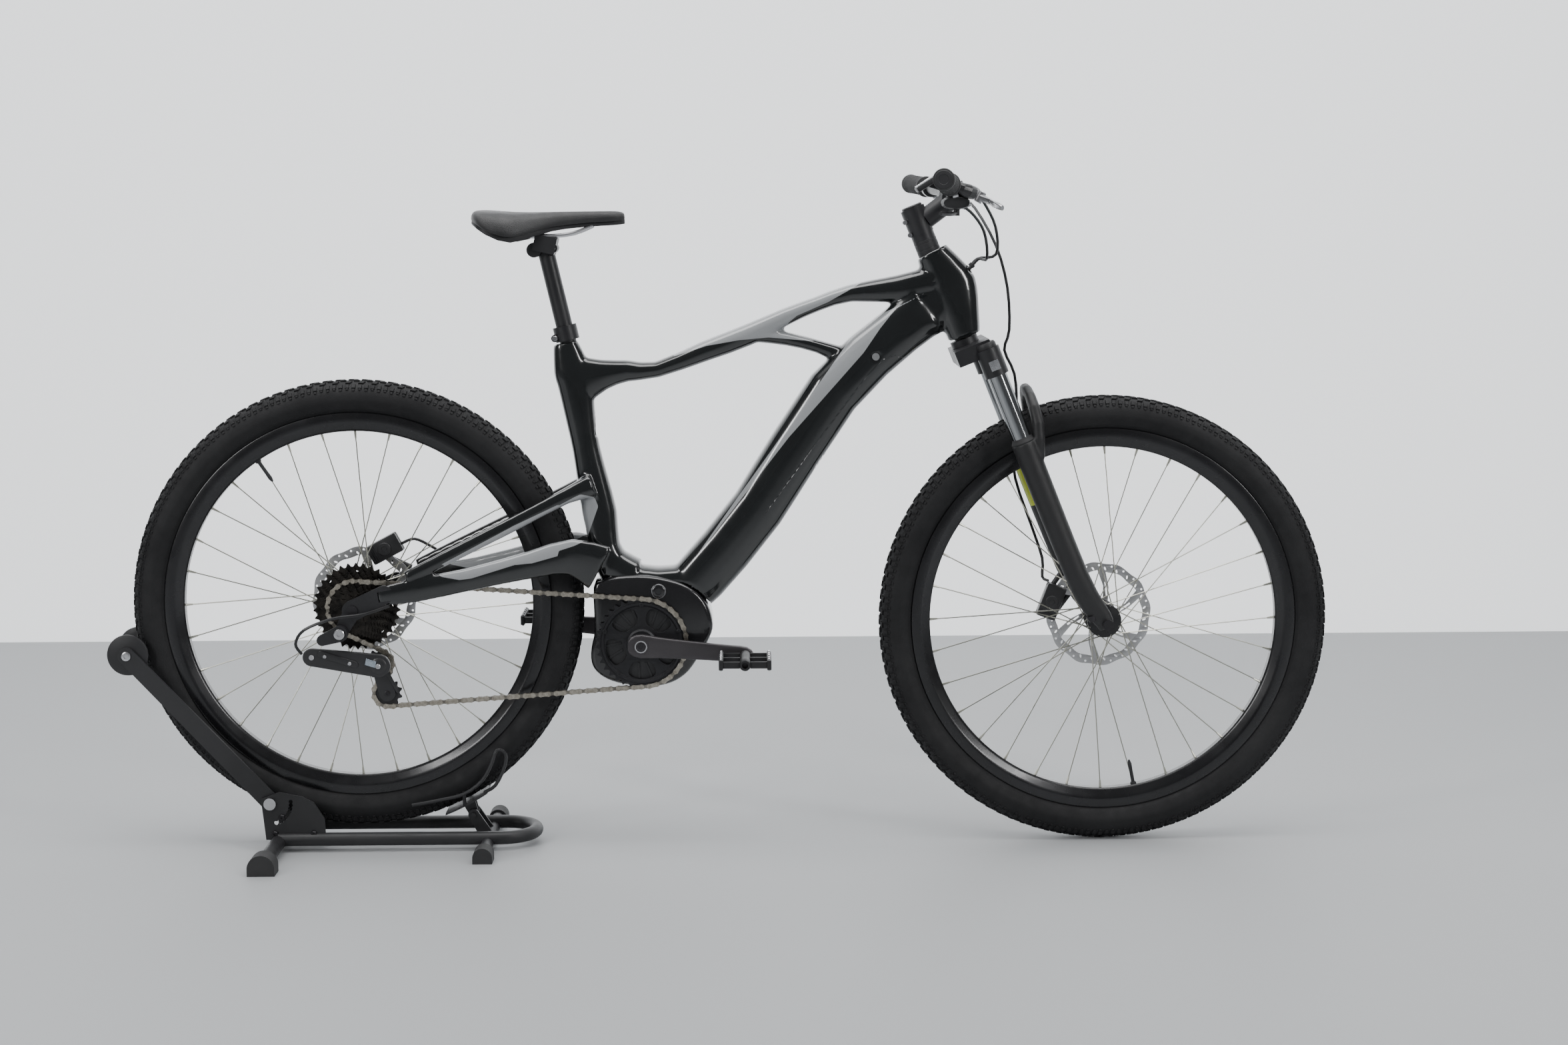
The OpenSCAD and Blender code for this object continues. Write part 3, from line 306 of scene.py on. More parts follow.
roller_mid = box_mid("tyre_roller")
roller_profile = [(6.1, -44), (31, -44), (33.5, -42.5), (34, -40), (33.5, -37.5), (31, -36),
                  (24, -35.2), (12, -34), (10, -31), (10, 31), (12, 34), (24, 35.2), (31, 36),
                  (33.5, 37.5), (34, 40), (33.5, 42.5), (31, 44), (6.1, 44)]
add_piece("roller", *turned(roller_profile, roller_mid, 72), moulded_black, "roller",
          slot="black_plastic", replaces=["tyre_roller"])
hub_caps = [bolt_head(roller_mid + Vector((0, m * 0.0521, 0)), (0, m, 0), 0.0075, 0.003, 24, 0.5)
            for m in (-1, 1)]
add_piece("roller_axle_ends", *join_parts(hub_caps), steel, "wheel_arm", slot="bright_steel")

# ---------------------------------------------------------------- tyres
# A rubber carcass on each rim, with smooth sidewalls, moulded rings by the bead, and an open
# tread: blocks in the middle, blocks between, and square shoulder blocks along both edges.
FRONT = Vector(joint["front_wheel_spin"]["pos_m"])
TYRE_MID, TYRE_R, CARCASS = 342.0, 30.0, 27.4
SEGMENTS = 108
tyre_rubber = finish("tyre_rubber", (0.008, 0.008, 0.009), (0.015, 0.015, 0.016), (0.60, 0.76),
                     grain=0.00012, grain_scale=700, patch=9, specular=0.35)


def turn_copies_tree():
    """Copies the mesh about the Y axis through a centre, evenly, and gives it its material."""
    tree = bpy.data.node_groups.new("turn_copies", "GeometryNodeTree")
    face = tree.interface
    face.new_socket("Geometry", in_out="INPUT", socket_type="NodeSocketGeometry")
    face.new_socket("Count", in_out="INPUT", socket_type="NodeSocketInt")
    face.new_socket("Centre", in_out="INPUT", socket_type="NodeSocketVector")
    face.new_socket("Material", in_out="INPUT", socket_type="NodeSocketMaterial")
    face.new_socket("Geometry", in_out="OUTPUT", socket_type="NodeSocketGeometry")
    get = tree.nodes.new("NodeGroupInput")
    put = tree.nodes.new("NodeGroupOutput")
    row = tree.nodes.new("GeometryNodeMeshLine")
    row.inputs["Offset"].default_value = (0, 0, 0)
    shift = tree.nodes.new("GeometryNodeSetPosition")
    index = tree.nodes.new("GeometryNodeInputIndex")
    part = tree.nodes.new("ShaderNodeMath")
    part.operation = "DIVIDE"
    angle = tree.nodes.new("ShaderNodeMath")
    angle.operation = "MULTIPLY"
    angle.inputs[1].default_value = 2 * math.pi
    euler = tree.nodes.new("ShaderNodeCombineXYZ")
    turn = tree.nodes.new("FunctionNodeEulerToRotation")
    copies = tree.nodes.new("GeometryNodeInstanceOnPoints")
    real = tree.nodes.new("GeometryNodeRealizeInstances")
    coat = tree.nodes.new("GeometryNodeSetMaterial")
    link = tree.links.new
    link(get.outputs["Count"], row.inputs["Count"])
    link(row.outputs["Mesh"], shift.inputs["Geometry"])
    link(get.outputs["Centre"], shift.inputs["Offset"])
    link(index.outputs["Index"], part.inputs[0])
    link(get.outputs["Count"], part.inputs[1])
    link(part.outputs[0], angle.inputs[0])
    link(angle.outputs[0], euler.inputs["Y"])
    link(euler.outputs["Vector"], turn.inputs["Euler"])
    link(shift.outputs["Geometry"], copies.inputs["Points"])
    link(get.outputs["Geometry"], copies.inputs["Instance"])
    link(turn.outputs["Rotation"], copies.inputs["Rotation"])
    link(copies.outputs["Instances"], real.inputs["Geometry"])
    link(real.outputs["Geometry"], coat.inputs["Geometry"])
    link(get.outputs["Material"], coat.inputs["Material"])
    link(coat.outputs["Geometry"], put.inputs["Geometry"])
    return tree


def run_tree(tree, verts, faces, values):
    """The plain mesh that a tree makes of a small mesh, with the tree's inputs by name."""
    seed_mesh = bpy.data.meshes.new("one")
    seed_mesh.from_pydata([tuple(v) for v in verts], [], faces)
    seed = bpy.data.objects.new("one", seed_mesh)
    bpy.context.scene.collection.objects.link(seed)
    modifier = seed.modifiers.new("tree", "NODES")
    modifier.node_group = tree
    for item in tree.interface.items_tree:
        if item.in_out == "INPUT" and item.name in values:
            modifier[item.identifier] = values[item.name]
    shown = seed.evaluated_get(bpy.context.evaluated_depsgraph_get())
    result = bpy.data.meshes.new_from_object(shown)
    bpy.data.objects.remove(seed)
    return result


TURN_COPIES = turn_copies_tree()


def turn_copies(verts, faces, count, centre, material):
    return run_tree(TURN_COPIES, verts, faces,
                    {"Count": count, "Centre": tuple(centre), "Material": material})


def tread_block(across_a, wide, along, long, top, twist=0.0):
    """A tapered block on the carcass, at an angle across it and a distance round it (mm)."""
    verts = []
    for r, shrink in ((CARCASS - 1.2, 1.12), (top - 0.5, 1.0), (top, 0.86)):
        for u, v in ((-1, -1), (1, -1), (1, 1), (-1, 1)):
            a = math.radians(across_a) + u * wide / 2 * shrink / top
            t = (along + v * long / 2 * shrink + u * twist) / (TYRE_MID + top)
            reach = TYRE_MID + r * math.cos(a)
            verts.append(Vector((reach * math.cos(t), r * math.sin(a), reach * math.sin(t)))
                         / 1000)
    faces = [(8, 9, 10, 11)]
    for i in (0, 4):
        for k in range(4):
            m = (k + 1) % 4
            faces.append((i + k, i + m, i + 4 + m, i + 4 + k))
    return verts, faces


pitch_mm = 2 * math.pi * (TYRE_MID + TYRE_R) / SEGMENTS
tread = join_parts(
    [tread_block(m * 9, 7.5, 0.22 * m * pitch_mm, 9, TYRE_R - 0.1, 1.2) for m in (-1, 1)]
    + [tread_block(m * 27, 6.5, (0.5 + 0.2 * m) * pitch_mm, 8, TYRE_R - 0.1, -1.4)
       for m in (-1, 1)]
    + [tread_block(m * 47, 8, (0.5 * k + 0.1 * m) * pitch_mm, 6.2, TYRE_R - 0.1 - 0.4 * k)
       for m in (-1, 1) for k in (0, 1)]
    + [tread_block(m * (60 - 3 * k), 4, (0.5 * k + 0.1 * m) * pitch_mm, 4.4, CARCASS + 1.4)
       for m in (-1, 1) for k in (0, 1)])

carcass = []
for i in range(37):
    a = math.radians(-136 + 272 * i / 36)
    ring = 0.5 if 96 < abs(math.degrees(a)) < 102 or abs(math.degrees(a)) > 128 else 0.0
    carcass.append((TYRE_MID + (CARCASS + ring) * math.cos(a), (CARCASS + ring) * math.sin(a)))
carcass += [(318.4, 13.6), (314.5, 13.4), (314.5, 10.5), (320, 11)]
carcass += [(TYRE_MID + 24.6 * math.cos(math.radians(a)), 24.6 * math.sin(math.radians(a)))
            for a in range(140, -141, -20)]
carcass += [(320, -11), (314.5, -10.5), (314.5, -13.4), (318.4, -13.6)]

for end, hub_at, wheel in (("front", FRONT, "front_wheel"), ("rear", REAR, "rear_wheel")):
    knobs = turn_copies(*tread, SEGMENTS, hub_at, tyre_rubber)
    keep_mesh(f"{end}_tread", knobs, tyre_rubber, wheel, 30, recalc=False)
    add_piece(f"{end}_carcass", *turned(carcass, hub_at, 144), tyre_rubber, wheel, 60,
              "tyre_rubber", [f"{end}_tyre"])

# ---------------------------------------------------------------- rims, spokes and hubs
# Each rim is a black anodised box section with a bright line where light catches its side. 32
# thin plated spokes run in three crossings to a turned hub, through nipples at the rim.
rim_black = finish("rim_black", (0.008, 0.008, 0.009), (0.014, 0.014, 0.016), (0.22, 0.34),
                   metal=0.3, coat=0.4, coat_rough=0.15, grain=0.00001, grain_scale=2500)
spoke_steel = finish("spoke_steel", (0.42, 0.42, 0.37), (0.56, 0.55, 0.48), (0.26, 0.4), metal=1,
                     grain=0.00001, grain_scale=500)
hub_black = finish("hub_black", (0.014, 0.014, 0.015), (0.024, 0.024, 0.026), (0.24, 0.36),
                   metal=0.4, grain=0.00001, grain_scale=500, lines=(1, 8, 1))
rim_profile = [(287, -7), (287, 7), (288.5, 9.2), (291, 10.6), (299, 15.6), (302, 17.1),
               (304, 17.5), (316.5, 17.5), (317.6, 17.1), (318, 16.2), (317.6, 15.4),
               (316, 14.7), (311, 14.1), (308, 6), (308, -6), (311, -14.1), (316, -14.7),
               (317.6, -15.4), (318, -16.2), (317.6, -17.1), (316.5, -17.5), (304, -17.5),
               (302, -17.1), (299, -15.6), (291, -10.6), (288.5, -9.2)]


def rod(p, q, radii, sides=8):
    """A straight turned rod from p to q, with radii in metres at even steps along it."""
    p, q = Vector(p), Vector(q)
    axis = (q - p).normalized()
    side = axis.orthogonal().normalized()
    other = axis.cross(side)
    verts, faces = [], []
    for i, r in enumerate(radii):
        middle = p.lerp(q, i / (len(radii) - 1))
        for k in range(sides):
            a = 2 * math.pi * k / sides
            verts.append(middle + r * (math.cos(a) * side + math.sin(a) * other))
    for i in range(len(radii) - 1):
        for k in range(sides):
            m = (k + 1) % sides
            faces.append((i * sides + k, i * sides + m, (i + 1) * sides + m, (i + 1) * sides + k))
    faces.append(tuple(reversed(range(sides))))
    faces.append(tuple((len(radii) - 1) * sides + k for k in range(sides)))
    return verts, faces


def wheel_point(a, r, y):
    return Vector((r * math.cos(math.radians(a)), y, r * math.sin(math.radians(a)))) / 1000


def spoke_set(y_mid):
    parts = []
    for side in (-1, 1):
        for lean in (-1, 1):
            rim_a = (11.25 if side > 0 else 0) + (22.5 if lean > 0 else 0)
            hub_a = rim_a + lean * 66
            hub_end = wheel_point(hub_a, 25, y_mid + side * 26 + lean * 1.7)
            rim_end = wheel_point(rim_a, 289, side * 3)
            parts.append(rod(hub_end, rim_end, [0.00105, 0.00095, 0.00095, 0.00095], 6))
            parts.append(rod(rim_end, rim_end.lerp(hub_end, 0.052),
                             [0.0024, 0.0021, 0.0018, 0.0014], 8))
            parts.append(rod(hub_end + Vector((0, lean * 0.0016, 0)),
                             hub_end - Vector((0, lean * 0.003, 0)), [0.0018, 0.0019, 0.0012], 8))
    return join_parts(parts)


def hub_shell(y0, y1, y_mid, rotor_y):
    m = y_mid
    return [(6.06, y0), (9, y0), (11, y0 + 1), (11, y0 + 5), (13, m - 35), (14.5, m - 32),
            (21, m - 30.5), (27, m - 29), (28, m - 28), (28, m - 24.5), (26.5, m - 23.4),
            (20, m - 22), (15, m - 18), (13.2, m - 10), (13, m), (13.2, m + 10), (15, m + 18),
            (20, m + 22), (26.5, m + 23.4), (28, m + 24.5), (28, m + 27), (24, rotor_y - 3),
            (22, rotor_y - 1), (14, rotor_y - 1), (14, y1 - 3), (11, y1 - 2), (11, y1), (6.06, y1)]


WHEELS = {
    "front": dict(hub_at=FRONT, body="front_wheel", y_mid=-2, y0=-54.4, y1=54.4, rotor_y=42,
                  valve=-78.8),
    "rear": dict(hub_at=REAR, body="rear_wheel", y_mid=8, y0=-25.4, y1=73.4, rotor_y=58,
                 valve=124)}
for end, w in WHEELS.items():
    hub_at, wheel = w["hub_at"], w["body"]
    add_piece(f"{end}_rim_band", *turned(rim_profile, hub_at, 144), rim_black, wheel, 28,
              "rim_black", [f"{end}_rim"])
    spokes = turn_copies(*spoke_set(w["y_mid"]), 8, hub_at, spoke_steel)
    keep_mesh(f"{end}_spoke_set", spokes, spoke_steel, wheel, 40,
              [f"{end}_spokes"], recalc=False)
    add_piece(f"{end}_hub_shell", *turned(hub_shell(w["y0"], w["y1"], w["y_mid"], w["rotor_y"]),
                                          hub_at, 64), hub_black, wheel, 30, "rim_black",
              [f"{end}_hub"])
    band = [(13.3, w["y_mid"] - 8), (14.6, w["y_mid"] - 7.5), (14.6, w["y_mid"] + 7.5),
            (13.3, w["y_mid"] + 8)]
    add_piece(f"{end}_hub_band", *turned(band, hub_at, 48), steel, wheel, 30, "bright_steel")
    # A valve with its dust cap stands inside the rim, through a small ring nut.
    inner, tip = (hub_at + wheel_point(w["valve"], r, 0) for r in (289, 246))
    stem = rod(inner, tip, [0.0034, 0.003, 0.003, 0.003, 0.003, 0.0032, 0.0033, 0.0016], 12)
    nut = rod(inner, inner.lerp(tip, 0.12), [0.0052, 0.0052, 0.0044], 12)
    add_piece(f"{end}_valve", *join_parts([stem, nut]), moulded_black, wheel, 35, "black_plastic")

# ---------------------------------------------------------------- brake rotors
# Each rotor is a sheet of stainless steel with a waved edge, rows of slots and holes that clear
# grit, and six raked arms to a ring that six small screws hold on the hub.
rotor_steel = finish("rotor_steel", (0.42, 0.42, 0.43), (0.60, 0.60, 0.61), (0.24, 0.4), metal=1,
                     grain=0.00002, grain_scale=700)


def flat_cut(outline, holes, y0, y1, centre=Vector(), bevel=0.0):
    """A sheet cut in the side view, from y0 to y1 (mm), with holes and softened edges."""
    curve = bpy.data.curves.new("cut", "CURVE")
    curve.dimensions = "2D"
    curve.fill_mode = "BOTH"
    curve.extrude = (y1 - y0) / 2000 - bevel
    curve.bevel_depth = bevel
    for line in [outline, *holes]:
        spline = curve.splines.new("POLY")
        spline.points.add(len(line) - 1)
        for point, (x, z) in zip(spline.points, line):
            point.co = (x / 1000, z / 1000, 0, 1)
        spline.use_cyclic_u = True
    cut = bpy.data.objects.new("cut", curve)
    bpy.context.scene.collection.objects.link(cut)
    mesh = bpy.data.meshes.new_from_object(
        cut.evaluated_get(bpy.context.evaluated_depsgraph_get()))
    bpy.data.objects.remove(cut)
    verts = [centre + Vector((v.co.x, (y0 + y1) / 2000 - v.co.z, v.co.y)) for v in mesh.vertices]
    faces = [tuple(reversed(p.vertices)) for p in mesh.polygons]
    bpy.data.meshes.remove(mesh)
    return verts, faces


def circle_line(r, steps=32, at=(0, 0), squash=1.0, turn=0.0):
    c, s = math.cos(math.radians(turn)), math.sin(math.radians(turn))
    line = []
    for i in range(steps):
        a = 2 * math.pi * i / steps
        x, z = r * math.cos(a), r * squash * math.sin(a)
        line.append((at[0] + c * x - s * z, at[1] + s * x + c * z))
    return line


def polar(r, a):
    return (r * math.cos(math.radians(a)), r * math.sin(math.radians(a)))


wave_out = [polar(86.6 + 1.4 * math.sin(math.radians(12 * a)), a) for a in range(0, 360, 3)]
wave_in = [polar(73 + 1.2 * math.sin(math.radians(12 * a + 60)), a) for a in range(0, 360, 3)]
vents = [circle_line(2.0, 10, polar(82.6, a), 1.0) for a in range(0, 360, 15)]
vents += [circle_line(3.4, 12, polar(77.4, a + 7.5), 0.5, a + 40) for a in range(0, 360, 15)]
rotor_arms = []
for a in range(0, 360, 60):
    rotor_arms.append(([polar(24, a - 9), polar(48, a + 10), polar(75, a + 22),
                        polar(75, a + 32), polar(48, a + 21), polar(24, a + 12)],
                       [[polar(34, a + 4), polar(56, a + 17), polar(55, a + 20.5),
                         polar(33, a + 9)]]))
for end, w in WHEELS.items():
    y = w["rotor_y"]
    parts = [flat_cut(wave_out, [wave_in, *vents], y - 0.9, y + 0.9, w["hub_at"], 0.0002),
             flat_cut(circle_line(27, 36), [circle_line(14.06, 36)], y - 1, y + 1, w["hub_at"],
                      0.0002)]
    parts += [flat_cut(line, cut, y - 0.85, y + 0.85, w["hub_at"], 0.0002)
              for line, cut in rotor_arms]
    add_piece(f"{end}_rotor_disc", *join_parts(parts), rotor_steel, w["body"], 30,
              "bright_steel", [f"{end}_rotor"])
    screws = [bolt_head(w["hub_at"] + wheel_point(a, 20.5, y + 1), (0, 1, 0), 0.0042, 0.0024, 12)
              for a in range(15, 360, 60)]
    add_piece(f"{end}_rotor_screws", *join_parts(screws), dark_metal, w["body"],
              slot="bright_steel")

# ---------------------------------------------------------------- cassette
# Ten steel sprockets on the freehub, black plated with a random mottle of lighter bronze tone,
# the biggest ones lightened, and a lock ring outside the smallest.
CHAIN_Y, CHAIN_PITCH = -50, 12.7
cog_black = finish("cog_black", (0.020, 0.019, 0.018), (0.050, 0.045, 0.040), (0.26, 0.42),
                   metal=0.95, grain=0.00002, grain_scale=900, patch=60)


def pitch_radius(teeth):
    return CHAIN_PITCH / 2 / math.sin(math.pi / teeth)


def tooth_line(teeth, up=3.0, down=3.0, start=0.0):
    r, line = pitch_radius(teeth), []
    for i in range(teeth):
        for part, h in ((0.04, -down), (0.2, -down * 0.7), (0.38, up * 0.5), (0.46, up),
                        (0.54, up), (0.62, up * 0.5), (0.8, -down * 0.7), (0.96, -down)):
            line.append(polar(r + h, 360 / teeth * (i + part) + start))
    return line


COGS = (34, 30, 28, 26, 24, 22, 20, 18, 15, 11)
cogs = []
for i, teeth in enumerate(COGS):
    y = CHAIN_Y + (5 - i) * 4
    r = pitch_radius(teeth)
    holes = [circle_line(9.5, 24)]
    if i < 5:
        holes += [circle_line((r - 24) / 2.6, 14, polar((r + 17) / 2, a + 9 * i), 0.75, a)
                  for a in range(0, 360, 45)]
    start = 0 if teeth == 22 else 3.1 * i
    cogs.append(flat_cut(tooth_line(teeth, start=start), holes, y - 0.8, y + 0.8, REAR, 0.00025))
add_piece("cassette_cogs", *join_parts(cogs), cog_black, "cassette", 30, "crank_grey",
          ["cassette"])
carrier = [(6.06, -68), (9, -69), (13, -69.5), (17, -69), (17, -67.6), (14.5, -66.9),
           (14.5, -27), (18, -26.6), (6.06, -26.6)]
add_piece("freehub_body", *turned(carrier, REAR, 48), dark_metal, "cassette", 30, "crank_grey")
add_piece("spoke_guard", *turned([(30, -26.4), (18.1, -26.4), (18.1, -27.3), (30, -27.6)], REAR,
                                 64), dark_metal, "cassette", 30, "crank_grey")

# ---------------------------------------------------------------- frame
# The frame is one smooth shell of formed aluminium tubes, welded, filled and lacquered gloss
# black. Silver panels are masked off along its sides, under the same clear coat.
CRANK = Vector(joint["crank_spin"]["pos_m"])
STEER = Vector(joint["steering"]["pos_m"])
steer_up = Vector(joint["steering"]["axis"]).normalized()
steer_fwd = Vector((steer_up.z, 0, -steer_up.x))
seat_up = Vector(joint["seat_height"]["axis"]).normalized()
seat_fwd = Vector((seat_up.z, 0, -seat_up.x))
FORK_LEN = 0.512
STEER_FOOT = STEER - FORK_LEN * steer_up


def on_seat(f, u, y=0.0):
    return CRANK + (f * seat_fwd + u * seat_up + Vector((0, y, 0))) / 1000


def on_head(f, u, y=0.0):
    return STEER_FOOT + (f * steer_fwd + u * steer_up + Vector((0, y, 0))) / 1000


satin_black = finish("satin_black", (0.010, 0.010, 0.012), (0.019, 0.019, 0.021), (0.34, 0.46),
                     grain=0.00003, grain_scale=2600)
PANEL_FRAME = "panel"
panel_points = {
    "down": [(936, 914), (829, 863), (799, 821), (559, 486), (561, 487), (580, 511), (711, 680),
             (833, 817), (860, 856), (886, 888)],
    "top": [(522, 815), (579, 843), (711, 895), (807, 931), (846, 940), (824, 926), (776, 899),
            (725, 877), (712, 866), (708, 858), (712, 851), (754, 836), (789, 832), (679, 842),
            (631, 838), (578, 829), (525, 812)]}


def signed_gap(x, z, line):
    """How far a point lies inside (+) or outside (-) a closed line in the side view, in mm."""
    inside, best = False, 1e9
    for i, (ax, az) in enumerate(line):
        bx, bz = line[(i + 1) % len(line)]
        if (az > z) != (bz > z) and x < ax + (z - az) / (bz - az) * (bx - ax):
            inside = not inside
        dx, dz = bx - ax, bz - az
        t = max(0, min(1, ((x - ax) * dx + (z - az) * dz) / (dx * dx + dz * dz + 1e-9)))
        best = min(best, math.hypot(x - ax - t * dx, z - az - t * dz))
    return best if inside else -best


def line_gap(x, z, line):
    """How far a point lies from an open line in the side view, in mm."""
    best = 1e9
    for (ax, az), (bx, bz) in zip(line, line[1:]):
        dx, dz = bx - ax, bz - az
        t = max(0, min(1, ((x - ax) * dx + (z - az) * dz) / (dx * dx + dz * dz + 1e-9)))
        best = min(best, math.hypot(x - ax - t * dx, z - az - t * dz))
    return best


stay_outer = [(410, 606), (381, 507), (355, 496), (189, 453), (108, 459), (150, 482), (262, 540),
              (330, 571), (364, 586)]
stay_window = [(148, 467), (370, 581), (386, 577), (390, 567), (373, 520), (357, 513), (192, 464),
               (175, 462)]
battery_seam = [(672, 556), (744, 655), (836, 776), (864, 806), (884, 812), (902, 806)]
SHELL_NODES = ("head_tube", "top_tube", "down_tube", "seat_tube", "chainstays", "seatstays")
VOXEL = 0.0026


def oval_sweep(sections, sides=32, power=1.0):
    """A closed skin through oval sections: (centre, half vector a, half vector b)."""
    verts, faces = [], []
    for centre, a, b in sections:
        for k in range(sides):
            t = 2 * math.pi * k / sides
            c, s = math.cos(t), math.sin(t)
            c = math.copysign(abs(c) ** power, c)
            s = math.copysign(abs(s) ** power, s)
            verts.append(centre + a * c + b * s)
    for i in range(len(sections) - 1):
        for k in range(sides):
            m = (k + 1) % sides
            faces.append((i * sides + k, i * sides + m, (i + 1) * sides + m, (i + 1) * sides + k))
    faces.append(tuple(reversed(range(sides))))
    faces.append(tuple((len(sections) - 1) * sides + k for k in range(sides)))
    return verts, faces


def tube_bridge(points, deep, wide):
    """A filled oval tube along points of the side view, to close the shell between two tubes."""
    sections = []
    for i, p in enumerate(points):
        run = (points[min(i + 1, len(points) - 1)] - points[max(i - 1, 0)]).normalized()
        sections.append((p, Vector((-run.z, 0, run.x)) * deep[i] / 1000,
                         Vector((0, wide[i] / 1000, 0))))
    return oval_sweep(sections, 32, 0.8)


def welded_shell(names):
    """The joined tubes as one smooth closed mesh, with fillets where they meet."""
    work = bmesh.new()
    for node in names:
        work.from_mesh(nodes[node].data)
    for verts, faces in (
            tube_bridge([on_head(-92, 570), on_head(-40, 584), on_head(-12, 590)],
                        [40, 43, 40], [32, 28, 24]),
            tube_bridge([on_seat(-14, 122), on_seat(14, 101), on_seat(48, 91), on_seat(84, 86),
                         on_seat(112, 84)], [20, 23, 21, 20, 16], [30, 33, 35, 35, 32])):
        made = [work.verts.new(v) for v in verts]
        for face in faces:
            work.faces.new([made[i] for i in face])
    bmesh.ops.remove_doubles(work, verts=work.verts, dist=1e-6)
    mesh = bpy.data.meshes.new("shell")
    work.to_mesh(mesh)
    work.free()
    shell = bpy.data.objects.new("shell", mesh)
    bpy.context.scene.collection.objects.link(shell)
    grow = shell.modifiers.new("voxels", "REMESH")
    grow.mode = "VOXEL"
    grow.voxel_size = VOXEL
    soft = shell.modifiers.new("fillet", "SMOOTH")
    soft.factor = 0.5
    soft.iterations = 9
    result = bpy.data.meshes.new_from_object(
        shell.evaluated_get(bpy.context.evaluated_depsgraph_get()))
    bpy.data.objects.remove(shell)
    return result


frame_paint = bpy.data.materials.new("frame_paint")
frame_paint.use_nodes = True
tree = frame_paint.node_tree
shader = tree.nodes["Principled BSDF"]
panel_value = tree.nodes.new("ShaderNodeAttribute")
panel_value.attribute_name = PANEL_FRAME
edge = tree.nodes.new("ShaderNodeMapRange")
edge.inputs["From Min"].default_value = -0.35
edge.inputs["From Max"].default_value = 0.35
tree.links.new(panel_value.outputs["Fac"], edge.inputs["Value"])
flake = tree.nodes.new("ShaderNodeMix")
flake.data_type = "RGBA"
flake.inputs["A"].default_value = (0.27, 0.28, 0.29, 1)
flake.inputs["B"].default_value = (0.36, 0.37, 0.38, 1)
tree.links.new(add_mottle(tree, 2600, 0, 1), flake.inputs["Factor"])
black = tree.nodes.new("ShaderNodeMix")
black.data_type = "RGBA"
black.inputs["A"].default_value = (0.0035, 0.0045, 0.005, 1)
black.inputs["B"].default_value = (0.006, 0.0075, 0.008, 1)
tree.links.new(add_mottle(tree, 5, 0, 1), black.inputs["Factor"])
coat_mix = tree.nodes.new("ShaderNodeMix")
coat_mix.data_type = "RGBA"
tree.links.new(edge.outputs["Result"], coat_mix.inputs["Factor"])
tree.links.new(black.outputs["Result"], coat_mix.inputs["A"])
tree.links.new(flake.outputs["Result"], coat_mix.inputs["B"])
tree.links.new(coat_mix.outputs["Result"], shader.inputs["Base Color"])
tree.links.new(add_mottle(tree, 30, 0.16, 0.24), shader.inputs["Roughness"])
seam_value = tree.nodes.new("ShaderNodeAttribute")
seam_value.attribute_name = "seam"
groove = tree.nodes.new("ShaderNodeMapRange")
groove.inputs["From Min"].default_value = 0.3
groove.inputs["From Max"].default_value = 1.3
seam_bump = tree.nodes.new("ShaderNodeBump")
seam_bump.inputs["Strength"].default_value = 1
seam_bump.inputs["Distance"].default_value = 0.0008
tree.links.new(seam_value.outputs["Fac"], groove.inputs["Value"])
tree.links.new(groove.outputs["Result"], seam_bump.inputs["Height"])
tree.links.new(seam_bump.outputs["Normal"], shader.inputs["Normal"])
shader.inputs["Coat Weight"].default_value = 1
shader.inputs["Coat Roughness"].default_value = 0.02

shell = welded_shell(SHELL_NODES)
panel = shell.attributes.new(PANEL_FRAME, "FLOAT", "POINT")
seam = shell.attributes.new("seam", "FLOAT", "POINT")
for i, v in enumerate(shell.vertices):
    x, z = (v.co.x - REAR.x) * 1000, (v.co.z - REAR.z) * 1000 + 405
    value = -20.0
    if x > 500:
        value = max(signed_gap(x, z, line) for line in panel_points.values())
    elif abs(v.co.y) > 0.012 and 100 < x < 415:
        value = min(signed_gap(x, z, stay_outer), 7.5 + signed_gap(x, z, stay_window))
        if x < 335 and z > 478:
            value = min(signed_gap(x, z, stay_outer), 60.0)
    panel.data[i].value = max(-20.0, min(20.0, value))
    seam.data[i].value = min(20.0, line_gap(x, z, battery_seam)) if x > 600 else 20.0
keep_mesh("frame_shell", shell, frame_paint, "frame", 60, SHELL_NODES,
          recalc=False)

# Fork ends, axle and seat clamp are separate forged and turned pieces bolted to the shell.
paint("dropouts", satin_black)
paint("rear_axle", dark_metal)
paint("front_axle", dark_metal)
paint("seat_clamp", satin_black)
paint("battery_pack", moulded_black)

# ---------------------------------------------------------------- motor
# The motor hangs under the shell in a glossy moulded housing, with a cooling cover on each side
# and a lockring round the crank spindle.
gloss_housing = finish("gloss_housing", (0.006, 0.006, 0.007), (0.011, 0.011, 0.012),
                       (0.16, 0.24), coat=0.7, coat_rough=0.06, grain=0.00002, grain_scale=1500)
MOTOR_HALF = 42




housing_line = [(-79, 90), (-78, 22), (-84, -10), (-84, -34), (-76, -50), (-58, -63), (-33, -71),
                (0, -75), (30, -74), (55, -66), (76, -50), (94, -24), (106, -4), (116, 20),
                (114, 45), (104, 68), (86, 86), (58, 100), (10, 110), (-40, 109), (-66, 102)]


